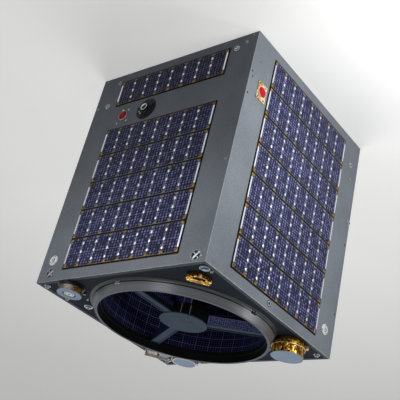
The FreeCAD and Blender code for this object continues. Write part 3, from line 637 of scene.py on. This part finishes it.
bump(tree, shader, weave, 0.0002)
bm = block(STRIP_END - STRIP_START, STRIP_T, STRIP_H)
bmesh.ops.transform(bm, matrix=Matrix.Rotation(VANE_TURN, 4, "Z") @ Matrix.Translation(
    ((STRIP_START + STRIP_END) / 2, VANE_HALF + STRIP_T / 2, STRIP_Z)), verts=bm.verts)
piece("vane_strip", ease(bm, 0.0002), strip_cloth)

# Two small screws hold the secondary mirror's can to the hub.
HUB_SCREWS = ((-0.032, -0.002), (-0.043, -0.033))
bm = bmesh.new()
for x, y in HUB_SCREWS:
    stamp(bm, seat(0.0003, 0.0036), Matrix.Translation((x, y, HUB_TOP)))
piece("hub_screws", bm, flat_black)

# --- separation ring ----------------------------------------------------------
# Turned aluminium ring that the launch adapter clamps: a foot that sweeps out over the deck, a
# narrow groove for the clamp band and a tapered lip. Its inside is black to the barrel's mouth.
RING_TOP, GROOVE_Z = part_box("ring_lip")[1].z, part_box("ring_base")[1].z
RING_IN_R, GROOVE_R = 0.2415, 0.2605
ring_metal, tree, shader, place = finish("turned ring", Metallic=0.25, Specular_IOR_Level=0.3)
parts = split(tree, place)
radius = from_axis(tree, parts)
outside = ramp(tree, radius, RING_IN_R + 0.0002, RING_IN_R + 0.0007)
face_ring = ramp(tree, parts[2], RING_TOP - 0.0004, RING_TOP - 0.0001)
lathe = clouds(tree, add(tree, "CombineXYZ", {0: radius, 1: parts[2]}).outputs[0], 500.0, 3.0)
cloud = clouds(tree, place, 5.0, 3.0)
metal = mix(tree, ramp(tree, lathe, 0.3, 0.7), "68696c", "818387")
metal = mix(tree, ramp(tree, cloud, 0.35, 0.65, 0.0, 0.35), metal, "505256")
# The foot is painted dark near the deck, and the ring below the groove darker: painted shade near the deck.
foot = ramp(tree, radius, GROOVE_R, GROOVE_R + 0.007)
foot_shade = times(tree, foot, ramp(tree, parts[2], GROOVE_Z - 0.002, GROOVE_Z - 0.004))
metal = mix(tree, foot_shade, metal, "181b20")
metal = mix(tree, ramp(tree, parts[2], GROOVE_Z, GROOVE_Z + 0.001, 0.66, 0.0), metal, "1c1d20")
metal = mix(tree, face_ring, metal, "303a45")
groove = times(tree, ramp(tree, parts[2], GROOVE_Z - 0.0007, GROOVE_Z - 0.0004),
               ramp(tree, parts[2], GROOVE_Z + 0.0021, GROOVE_Z + 0.0024, 1.0, 0.0))
metal = mix(tree, groove, metal, "0c0c0d")
colour(tree, shader, mix(tree, outside, "0b0b0c", metal))
roughen(tree, shader, lathe, 0.3, 0.42)
bump(tree, shader, lathe, 0.0001)
dress(ring_metal, "ring_base", "ring_lip")

# Bright end blocks of the clamp strip, with a dark gap between the two of each latch. The latch on
# the -X side is painted dark, as the shadow it lies in.
SHADED_LATCH = (-0.2588, -0.0272, RING_TOP)
pale_steel, tree, shader, place = finish("pale steel", Metallic=0.9)
tones = grains(tree, place, 1200.0, 150.0)
steel = mix(tree, tones["Cloud"], "c2c6ca", "e2e5e8")
away = add(tree, "VectorMath", {0: place, 1: SHADED_LATCH}, operation="DISTANCE").outputs["Value"]
colour(tree, shader, mix(tree, ramp(tree, away, 0.020, 0.024, 0.9, 0.0), steel, "17181a"))
roughen(tree, shader, tones["Grain"], 0.26, 0.42)
bump(tree, shader, tones["Grain"], 0.00005)
dress(pale_steel, "ring_latches")

LATCH_TURNS, LATCH_GAP, LATCH_H = (-86.0, -174.0), 0.0048, 0.0078
bm = bmesh.new()
gap = shape(ease(block(0.003, LATCH_GAP, LATCH_H), 0.0003))
for turn in LATCH_TURNS:
    stamp(bm, gap, Matrix.Rotation(radians(turn), 4, "Z")
          @ Matrix.Translation((GROOVE_R, 0, GROOVE_Z + 0.0009 - LATCH_H / 2)))
piece("latch_gaps", bm, flat_black)

# --- star tracker -------------------------------------------------------------
# Black anodised stepped baffle, turned from one bar, let into the front panel. The steps' edges are
# bright, partly worn coat and partly a painted highlight, and a thick bright ring holds its small lens.
black_anodised = coated("black anodise", "060607", "0e0e0f", 800.0, 40.0,
                        0.00008, (0.34, 0.5), Specular_IOR_Level=0.12)
dress(black_anodised, "star_tracker")

worn_and_glint_anodise = coated("worn and glint anodise", "3a3c3e", "7c7f84", 500.0, 90.0,
                      0.00005, Roughness=0.45, Specular_IOR_Level=0.3)

TRACKER_U, _, TRACKER_V = centre("star_tracker")
STEPS = ((0.036, 0.0020), (0.031, 0.0040), (0.025, 0.0062), (0.019, 0.0085))
LENS_RING_R, LENS_RING_T, LENS_RING_OUT = 0.0126, 0.0020, 0.0110


def bead(radius, thickness):
    """Thin round ring about Z."""
    t = thickness
    return turned([(radius - t, 0), (radius - 0.6 * t, 0.7 * t), (radius + 0.3 * t, 0.7 * t),
                   (radius + t * 0.4, 0), (radius + 0.2 * t, -0.5 * t), (radius - 0.6 * t, -0.5 * t),
                   (radius - t, 0)], 64)


# Bright beads on the steps' edges, partly wear and partly a painted highlight.
bm = bmesh.new()
for step_r, step_out in STEPS:
    stamp(bm, shape(bead(step_r, 0.0005)), on_face("front", TRACKER_U, TRACKER_V, step_out))
piece("tracker_edges", bm, worn_and_glint_anodise)
bm = bmesh.new()
lens_ring = shape(bead(LENS_RING_R - LENS_RING_T, LENS_RING_T))
stamp(bm, lens_ring, on_face("front", TRACKER_U, TRACKER_V, LENS_RING_OUT))
STEP_SCREW_PLACE, STEP_SCREW_OUT = 0.022, 0.0063
for turn in (0.45, 0.9):
    across, up = TRACKER_U + STEP_SCREW_PLACE * cos(turn), TRACKER_V + STEP_SCREW_PLACE * sin(turn)
    stamp(bm, screw(0.0023), on_face("front", across, up, STEP_SCREW_OUT))
piece("tracker_lens_ring", bm, pale_steel)

lens = coated("lens glass", "040406", "0a0a10", 200.0, 80.0, Roughness=0.08, Specular_IOR_Level=0.15)
dress(lens, "tracker_glass")

# --- sun sensors --------------------------------------------------------------
# Red glass domes in thin white rings. The one on the front sits on the panel between four screws,
# and the one on the left side on a gold-plated foot with a screw in each corner.
white_paint = coated("white paint", "d3d5d8", "e8e9eb", 900.0, 30.0, 0.0001, Roughness=0.5)
dress(white_paint, "sensor_rings")

red_glass, tree, shader, place = finish("red glass", Roughness=0.4, Specular_IOR_Level=0.1)
tones = grains(tree, place, 300.0, 90.0)
colour(tree, shader, mix(tree, tones["Cloud"], "a80610", "d41421"))
bump(tree, shader, tones["Cloud"], 0.0004)
dress(red_glass, "sensor_domes")

SENSOR_SCREWS = ((0.168, 0.151), (0.144, 0.155), (0.142, 0.195), (0.179, 0.198))
bm = bmesh.new()
for across, up in SENSOR_SCREWS:
    stamp(bm, screw(0.0029), on_face("front", across, up))
piece("sensor_screws", bm, pale_steel)


def facets(tree, place, scale):
    """A random value for each flat of a creased surface."""
    cells = add(tree, "TexVoronoi", {"Vector": place, "Scale": scale}).outputs["Color"]
    return add(tree, "SeparateColor", {0: cells}).outputs[0]


gold_plate, tree, shader, place = finish("gold plate", Metallic=0.6)
tones = grains(tree, place, 260.0, 110.0)
# The bright flats of the plate are painted highlights.
plate = mix(tree, ramp(tree, facets(tree, place, 240.0), 0.35, 0.65), "b5893a", "fff0c4")
colour(tree, shader, mix(tree, ramp(tree, tones["Grain"], 0.45, 0.7, 0.0, 0.5), plate, "8a6628"))
roughen(tree, shader, tones["Grain"], 0.3, 0.45)
bump(tree, shader, tones["Cloud"], 0.0005)
dress(gold_plate, "sensor_plate")

PLATE, SCREW_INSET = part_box("sensor_plate"), 0.0055
PLATE_MIDDLE = (PLATE[0] + PLATE[1]) / 2
bm = bmesh.new()
for side in (-1, 1):
    for end in (-1, 1):
        across = -(PLATE_MIDDLE.y + side * ((PLATE[1].y - PLATE[0].y) / 2 - SCREW_INSET))
        up = PLATE_MIDDLE.z + end * ((PLATE[1].z - PLATE[0].z) / 2 - SCREW_INSET)
        stamp(bm, seat(0.0006, 0.0022), on_face("left", across, up, -PLATE[0].x - HALF_BODY))
piece("plate_screws", bm, flat_black)

# --- white caps ---------------------------------------------------------------
# Round white caps near the nadir corners, each with a dark curved grip slot and three vent holes.
white_cap = coated("white cap", "dfe1e3", "f4f5f6", 600.0, 60.0,
                   0.0001, (0.3, 0.42), Metallic=0.55, Specular_IOR_Level=0.6)
dress(white_cap, "cover_discs")
CAPS = (("front", 0.255, 0.655), ("left", -0.249, 0.652))
CAP_FACE = -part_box("cover_discs")[0].y - HALF_BODY
GRIP_R, GRIP_SLOT_W, GRIP_SWEEP, GRIP_TURN = 0.0058, 0.0023, 3.4, 1.2
VENT_PLACE, VENT_R, VENT_IN = 0.0125, 0.0018, 0.0014


def grip_slot(radius, width, sweep):
    """Flat curved strip, drawn along an arc."""
    bm = bmesh.new()
    line = [bm.verts.new((radius - width / 2, 0, 0)), bm.verts.new((radius + width / 2, 0, 0))]
    edge = bm.edges.new(line)
    bmesh.ops.spin(bm, geom=line + [edge], cent=(0, 0, 0), axis=(0, 0, 1), angle=sweep, steps=12)
    bmesh.ops.solidify(bm, geom=bm.faces[:], thickness=0.0003)
    bmesh.ops.recalc_face_normals(bm, faces=bm.faces)
    return shape(bm)


bm = bmesh.new()
for face, across, up in CAPS:
    stamp(bm, grip_slot(GRIP_R, GRIP_SLOT_W, GRIP_SWEEP),
          on_face(face, across, up, CAP_FACE + 0.00005, GRIP_TURN))
    for k in range(3):
        turn = radians(120 * k + 20)
        stamp(bm, seat(0.0002, VENT_R), on_face(face, across + VENT_PLACE * cos(turn),
                                                up + VENT_PLACE * sin(turn), CAP_FACE - VENT_IN))
    stamp(bm, seat(0.0002, 0.0021), on_face(face, across + 0.001, up - 0.001, CAP_FACE))
piece("cap_slots", bm, flat_black)

# --- antennas -----------------------------------------------------------------
# Drums on the nadir deck under flat pale covers. The large one is wrapped in creased gold film with
# a bright bead round it, a painted highlight on its collar's edge, the small one is bronze on a dark
# stepped foot, and the far one is white.
antenna_face, tree, shader, place = finish("antenna cover", Roughness=0.6, Specular_IOR_Level=0.2)
tones = grains(tree, place, 420.0, 16.0)
cover = mix(tree, tones["Cloud"], "79889b", "8494a8")
colour(tree, shader, mix(tree, ramp(tree, tones["Grain"], 0.35, 0.7, 0.0, 0.25), cover, "66717e"))
bump(tree, shader, tones["Grain"], 0.0001)
dress(antenna_face, "large_antenna_cover", "small_antenna_cover", "far_antenna_cover", "tray_patch")
dress(white_paint, "far_antenna")

SMALL_X, SMALL_Y, _ = centre("small_antenna_cover")
PATCH_TURN = 2.9
bronze, tree, shader, place = finish("bronze drum", Metallic=0.5)
parts = split(tree, place)
tones = grains(tree, place, 300.0, 40.0)
bearing = calc(tree, "ARCTAN2", minus(tree, parts[1], SMALL_Y),
               minus(tree, parts[0], SMALL_X))
lower = ramp(tree, parts[2], DECK_TOP + 0.0085, DECK_TOP + 0.0095)
wall = mix(tree, tones["Cloud"], "5b564f", "857d72")
wall = mix(tree, ramp(tree, tones["Grain"], 0.4, 0.7, 0.0, 0.4), wall, "3c3834")
patch = ramp(tree, apart(tree, calc(tree, "ABSOLUTE", bearing), PATCH_TURN), 0.22, 0.26, 1.0, 0.0)
streaks = clouds(tree, place, 260.0, 3.0)
wall = mix(tree, patch, wall, mix(tree, ramp(tree, streaks, 0.42, 0.58), "4e3612", "c08c38"))
colour(tree, shader, mix(tree, lower, "1a1917", wall))
roughen(tree, shader, tones["Grain"], 0.3, 0.5)
bump(tree, shader, tones["Grain"], 0.0001)
dress(bronze, "small_antenna")
dress(screw_steel, "small_antenna_boss")

# Black rings painted as the shade in the boss's hole, round its edge and in the cover's recess: inner and
# outer radius, depth below the boss.
SMALL_SHADE_RINGS = ((0.0002, 0.0036, 0.0), (0.0104, 0.0116, 0.0), (0.0151, 0.0184, 0.0013))
SMALL_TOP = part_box("small_antenna_boss")[1].z
bm = bmesh.new()
for inner, outer, depth in SMALL_SHADE_RINGS:
    stamp(bm, seat(inner, outer), Matrix.Translation((SMALL_X, SMALL_Y, SMALL_TOP - depth)))
piece("small_antenna_shade_rings", bm, flat_black)

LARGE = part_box("large_antenna")
LARGE_X, LARGE_Y, _ = centre("large_antenna")
GLINT_R, GLINT_T, GLINT_Z = (LARGE[1].x - LARGE[0].x) / 2, 0.0016, DECK_TOP + 0.019
# The slot in the foil box: its place along the box's length, half its length and width, its floor.
FOIL_XY, SLOT_X, SLOT_HALF_L, SLOT_HALF_W, SLOT_FLOOR = 0.218, 0.025, 0.0163, 0.0058, 0.0053
gold_film, tree, shader, place = finish("gold film", Metallic=0.85)
parts = split(tree, place)
drawn = add(tree, "VectorMath", {0: place, 1: (1.0, 1.0, 0.35)}, operation="MULTIPLY").outputs[0]
creases = clouds(tree, drawn, 150.0, 5.0, 0.7)
folds = add(tree, "TexVoronoi", {"Vector": place, "Scale": 120.0}, feature="DISTANCE_TO_EDGE")
facet = facets(tree, drawn, 210.0)
film = mix(tree, ramp(tree, creases, 0.4, 0.6), "2c1a04", "c48a1e")
# Dark and bright flats are painted reflections and highlights on the creased film.
film = mix(tree, ramp(tree, facet, 0.15, 0.35, 0.7, 0.0), film, "1c0f03")
film = mix(tree, ramp(tree, facet, 0.8, 0.9, 0.0, 0.85), film, "ffd671")
base = ramp(tree, parts[2], DECK_TOP + 0.004, DECK_TOP + 0.009)
slot_out = times(tree, calc(tree, "ADD", calc(tree, "ADD", parts[0], parts[1]), 2 * FOIL_XY), -sqrt(0.5))
slot_side = times(tree, apart(tree, parts[0], parts[1]), sqrt(0.5))
inside = times(tree, ramp(tree, slot_side, SLOT_HALF_L - 0.0005, SLOT_HALF_L, 1.0, 0.0),
               ramp(tree, apart(tree, slot_out, SLOT_X), SLOT_HALF_W - 0.0002, SLOT_HALF_W + 0.0003,
                    1.0, 0.0))
film = mix(tree, inside, film, "2a1404")
colour(tree, shader, mix(tree, base, "5a3c12", film))
roughen(tree, shader, creases, 0.2, 0.42)
height = calc(tree, "ADD", times(tree, folds.outputs["Distance"], 1.2), creases)
bump(tree, shader, height, 0.002, 0.9)
dress(gold_film, "large_antenna", "foil_box")

# Gold on the bead of painted highlight and on the large antenna's plug, grey on the plug by the small
# antenna.
NEAR_SMALL = 0.10
bright_band, tree, shader, place = finish("bright band", Metallic=0.1)
tones = grains(tree, place, 400.0, 160.0)
gold = mix(tree, tones["Cloud"], "d8a850", "fff0cc")
parts = split(tree, place)
at_small = times(tree, ramp(tree, parts[0], NEAR_SMALL, NEAR_SMALL + 0.01),
                 ramp(tree, parts[1], -NEAR_SMALL - 0.01, -NEAR_SMALL, 1.0, 0.0))
colour(tree, shader, mix(tree, at_small, gold, "59616a"))
roughen(tree, shader, tones["Grain"], 0.2, 0.34)
bump(tree, shader, tones["Grain"], 0.0001)
dress(bright_band, "antenna_connectors")
# A thin bright bead round the large antenna is a painted highlight on its collar's edge.
bm = bmesh.new()
stamp(bm, shape(bead(GLINT_R - 0.0002, GLINT_T)), Matrix.Translation((LARGE_X, LARGE_Y, GLINT_Z)))
piece("antenna_collar_glint", bm, bright_band)

# The foil box's top has a long slot with a dark inside.
SLOT_W, SLOT_T = 2 * SLOT_HALF_W, 0.0005
bm = block(SLOT_W, 2 * SLOT_HALF_L, SLOT_T)
ease_upright(bm, SLOT_W * 0.48, SLOT_T, 6)
foil_place = on_deck(-FOIL_XY, -FOIL_XY, 0.0, radians(225))
bmesh.ops.transform(bm, matrix=foil_place @ Matrix.Translation((SLOT_X, 0, SLOT_FLOOR)), verts=bm.verts)
piece("foil_box_slot", bm, flat_black)

# --- instrument tray ----------------------------------------------------------
# White tray at the deck's far corner: a crumpled blanket pillow, an electronics unit with gold
# brackets and the round patch antenna, between white walls.
blanket_film, tree, shader, place = finish("blanket film", Metallic=0.15)
creases = clouds(tree, place, 130.0, 5.0, 0.7)
film = mix(tree, ramp(tree, creases, 0.4, 0.6), "6b665e", "b5b1a8")
colour(tree, shader, mix(tree, ramp(tree, creases, 0.55, 0.7), film, "a58c58"))
roughen(tree, shader, creases, 0.35, 0.55)
bump(tree, shader, creases, 0.002, 0.6)

tray_paint = coated("tray paint", "9d9b97", "c2c0bb", 700.0, 40.0, 0.0001, Roughness=0.55)
dress(tray_paint, "instrument_tray")

TO_TRAY = Matrix.Rotation(radians(45), 4, "Z")
corners = [TO_TRAY.inverted() @ v.co for v in nodes["tray_blanket"].data.vertices]
LOW, HIGH = [Vector([pick(c[k] for c in corners) for k in range(3)]) for pick in (min, max)]
size = HIGH - LOW
EDGE_FALL, PINCH, WRINKLES, WRINKLE_T = 0.62, 0.05, 190, 0.0012
bm = block(size.x, size.y, size.z)
bmesh.ops.subdivide_edges(bm, edges=bm.edges[:], cuts=15, use_grid_fill=True)
for v in bm.verts:
    x, y, z = 2 * v.co.x / size.x, 2 * v.co.y / size.y, 2 * v.co.z / size.z - 1
    edge = max(abs(x), abs(y))
    v.co.z = size.z * (0.5 + 0.5 * z * (1 - EDGE_FALL * edge ** 5)) if z > 0 else v.co.z
    pinch = 1 - PINCH * (1 - z * z) * 0.5
    v.co.x *= pinch * (1 - PINCH * (1 - y * y))
    v.co.y *= pinch * (1 - PINCH * (1 - x * x))
    wrinkle = noise.noise(v.co * WRINKLES) * WRINKLE_T
    v.co.z = min(size.z, max(0.0, v.co.z + (wrinkle - WRINKLE_T / 2 if z > -0.9 else 0.0)))
seated = Matrix.Translation(((LOW.x + HIGH.x) / 2, (LOW.y + HIGH.y) / 2, LOW.z))
bmesh.ops.transform(bm, matrix=TO_TRAY @ seated, verts=bm.verts)
pillow = piece("blanket_pillow", bm, blanket_film, 80.0)
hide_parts("tray_blanket")

dark_unit, tree, shader, place = finish("electronics", Metallic=0.3)
shade = facets(tree, place, 230.0)
board = mix(tree, ramp(tree, shade, 0.3, 0.7), "3a3c40", "a7aab0")
colour(tree, shader, mix(tree, ramp(tree, shade, 0.82, 0.86), board, "b98a35"))
tree.links.new(ramp(tree, shade, 0.0, 1.0, 0.3, 0.55), shader["Roughness"])
bump(tree, shader, shade, 0.0006)
dress(dark_unit, "tray_unit")

# Two straps over the blanket and five gilt clips: distance out along the deck's diagonal, distance
# across it.
STRAPS = ((0.2840, -0.0462), (0.2840, -0.0345))
CLIPS = ((0.2790, -0.0490), (0.2650, -0.0050), (0.2620, -0.0400), (0.3050, -0.0045), (0.2640, 0.0880))
STRAP_Z, CLIP_Z = DECK_TOP + 0.0186, DECK_TOP + 0.0190
bm = bmesh.new()
strap = shape(ease(block(0.044, 0.0022, 0.0009), 0.0003))
clip = shape(ease(block(0.0055, 0.0075, 0.0030), 0.0008))
for mesh, places, height in ((strap, STRAPS, STRAP_Z), (clip, CLIPS, CLIP_Z)):
    for out, across in places:
        stamp(bm, mesh, TO_TRAY @ Matrix.Translation((out, across, height)))
piece("tray_clips", bm, bright_band)

# --- fittings -----------------------------------------------------------------
# Hoisting and tie-down points of pale steel: washers under hexagon heads on the sides and the
# deck's rim, and cross grips let into round pockets near the nadir corners.
dress(pale_steel, "lugs")
# Radius and thickness of the washer, radius and height of the head.
LUG_SIZES = {"cap": (0.0125, 0.0020, 0.0075, 0.0040), "large": (0.0088, 0.0016, 0.0056, 0.0050),
             "small": (0.0062, 0.0014, 0.0042, 0.0040), "nub": (0.0040, 0.0010, 0.0028, 0.0030)}
SIDE_LUGS = (
    ("front", 0.243, 0.119, "large"), ("front", 0.221, 0.032, "small"), ("front", 0.286, 0.118, "nub"),
    ("front", -0.233, 0.044, "large"), ("front", -0.265, 0.030, "nub"), ("left", -0.2516, 0.096, "large"),
    ("left", -0.265, 0.140, "nub"), ("left", -0.2876, 0.286, "large"), ("right", 0.2516, 0.096, "large"),
    ("right", 0.2876, 0.286, "large"), ("right", -0.2516, 0.096, "large"), ("back", 0.243, 0.119, "large"),
    ("back", 0.233, 0.044, "large"), ("back", -0.243, 0.119, "large"), ("back", -0.233, 0.044, "large"))
RIM_LUGS = ((0.278, -0.275, "large"), (0.279, -0.194, "small"), (-0.276, 0.268, "large"),
            (0.276, 0.268, "large"), (-0.2795, -0.246, "nub"), (0.25005, -0.13464, "cap"))
bm = bmesh.new()
spots = [(on_face(face, across, up), kind) for face, across, up, kind in SIDE_LUGS]
spots += [(on_deck(x, y), kind) for x, y, kind in RIM_LUGS]
for spot, kind in spots:
    washer_r, washer_t, head_r, head_h = LUG_SIZES[kind]
    shade_r = head_r + (washer_r - head_r) * 0.45
    for inner, outer, out in ((head_r * 0.7, shade_r, washer_t), (0.0002, head_r * 0.62, washer_t + head_h),
                              (washer_r * 0.98, washer_r * 1.12, 0)):
        stamp(bm, seat(inner, outer), spot @ Matrix.Translation((0, 0, out)))
piece("lug_shadows", bm, flat_black)

# Plain eyelets of tie-down inserts, level with the panels.
EYELETS = (("left", 0.0253, 0.7009, 0.0090), ("left", 0.2660, 0.0840, 0.0048),
           ("front", -0.2870, 0.4266, 0.0048), ("left", 0.2870, 0.4559, 0.0042),
           ("left", 0.2730, 0.7070, 0.0038), ("right", 0.0253, 0.7009, 0.0072),
           ("back", -0.2870, 0.4266, 0.0048))
bm, shadows = bmesh.new(), bmesh.new()
for face, across, up, eye_r in EYELETS:
    stamp(bm, seat(eye_r * 0.5, eye_r * 0.75, 0.0004), on_face(face, across, up))
    stamp(shadows, seat(eye_r * 0.75, eye_r), on_face(face, across, up))
    stamp(shadows, seat(0.0002, eye_r * 0.5), on_face(face, across, up))
piece("eyelets", bm, pale_steel)
piece("eyelet_shadows", shadows, flat_black)

# Each pocket has a grey seat, a cross grip of steel and a thin bright rim.
dress(worn_and_glint_anodise, "pocket_fittings")
POCKETS = ((-0.265, 0.700), (0.254, 0.694))
POCKET_R, POCKET_FLOOR, GRIP_W, GRIP_H = 0.0135, 0.0080, 0.0060, 0.0070
GRIP_L = 2 * POCKET_R - 0.0012
bm = bmesh.new()
grip = shape(ease(block(GRIP_L, GRIP_W, GRIP_H), 0.0006))
cross = shape(ease(block(GRIP_L, GRIP_W * 0.55, GRIP_H - 0.0004), 0.0006))
for face in ("front", "back"):
    for across, up in POCKETS:
        for bar, turn in ((grip, 45), (cross, 135)):
            stamp(bm, bar, on_face(face, across, up, 0.0001 - POCKET_FLOOR, radians(turn)))
        stamp(bm, shape(bead(POCKET_R + 0.0005, 0.0006)), on_face(face, across, up))
piece("pocket_grips", bm, screw_steel)

flange_grey = coated("flange grey", "6f7d8b", "8b99a7", 500.0, 60.0, 0.0001, (0.35, 0.5), Metallic=0.3)
dress(flange_grey, "corner_flange")
FLANGE_X, FLANGE_Y, _ = centre("corner_flange")
FLANGE_T, FLANGE_HOLE_X = 0.0030, 0.0090
# Black discs are painted shade in the flange's two holes, with a thin black ring between them.
bm = bmesh.new()
for side in (-1, 1):
    stamp(bm, seat(0.0002, 0.0034), on_deck(FLANGE_X + side * FLANGE_HOLE_X, FLANGE_Y, FLANGE_T))
stamp(bm, seat(0.0056, 0.0066), on_deck(FLANGE_X, FLANGE_Y, FLANGE_T))
piece("flange_hole_shades", bm, flat_black)

# --- floor, light and camera --------------------------------------------------
# A plain pale floor under soft lamps. The camera looks down on the nadir deck and is turned over,
# so that the telescope looks down as it does in orbit.
FLOOR_HALF = 6.0
floor_paint, tree, shader, place = finish("floor", Roughness=0.9, Specular_IOR_Level=0.05)


def shown_rays(tree):
    """One where the ray shows the surroundings, nought where it only carries light."""
    seen = add(tree, "LightPath").outputs
    mirrored = calc(tree, "MAXIMUM", seen["Is Glossy Ray"], seen["Is Transmission Ray"])
    return calc(tree, "MAXIMUM", seen["Is Camera Ray"], mirrored)


tones = grains(tree, place, 60.0, 1.5)
pale = mix(tree, tones["Cloud"], "dededc", "e4e4e2")
shown = shown_rays(tree)
colour(tree, shader, mix(tree, shown, "8a8a8a", pale))
tree.links.new(mix(tree, shown, "000000", "a6a6a5"), shader["Emission Color"])
shader["Emission Strength"].default_value = 1.0
bm = bmesh.new()
bmesh.ops.create_grid(bm, x_segments=2, y_segments=2, size=FLOOR_HALF)
mesh = shape(bm, "floor")
mesh.materials.append(floor_paint)
floor = put("floor", mesh)

world = bpy.data.worlds.new("studio")
bpy.context.scene.world = world
world.use_nodes = True
tree = world.node_tree
sky = tree.nodes["Background"].inputs
sky["Color"].default_value = srgb("eef0f2")
tree.links.new(ramp(tree, shown_rays(tree), 0.0, 1.0, 0.13, 0.85), sky["Strength"])


def lamp(name, place, aim, wide, high, watts):
    """A soft lamp that looks at a point."""
    data = bpy.data.lights.new(name, "AREA")
    data.shape = "RECTANGLE"
    data.size, data.size_y = wide, high
    data.energy = watts
    made = put(name, data)
    made.location = place
    made.rotation_mode = "QUATERNION"
    made.rotation_quaternion = (Vector(aim) - Vector(place)).to_track_quat("-Z", "Y")
    made.visible_camera = False


lamp("left_lamp", (-1.05, -0.22, 0.27), (-0.3, -0.14, 0.31), 0.3, 0.3, 6.0)
lamp("back_lamp", (-1.15, 0.6, 1.2), (-0.2, 0.0, 0.7), 0.3, 0.3, 3.4)
lamp("front_lamp", (0.0, -0.66, 0.58), (0.0, -0.3, 0.72), 0.7, 0.12, 0.95)
lamp("high_lamp", (-0.15, -0.85, 1.25), (0.0, -0.3, 0.72), 0.3, 0.3, 1.3)
lamp("top_lamp", (0.5, 0.7, 2.4), (0, 0, 0.7), 1.2, 1.2, 20)

CAMERA_PLACE = (-1.47839, -1.59616, 1.53350)
RIGHT = Vector((-0.78159474, 0.58609408, -0.21354952))
UP = Vector((-0.14856378, -0.50739293, -0.84881165))
SENSOR_MM, LENS_MM = 36.0, 74.02
data = bpy.data.cameras.new("camera")
data.sensor_width = SENSOR_MM
data.lens = LENS_MM
camera = put("camera", data)
turn = Matrix((RIGHT, UP, RIGHT.cross(UP))).transposed()
camera.rotation_mode = "QUATERNION"
camera.rotation_quaternion = turn.to_quaternion()
camera.location = CAMERA_PLACE
bpy.context.scene.camera = camera
bpy.context.scene.view_settings.view_transform = "Standard"
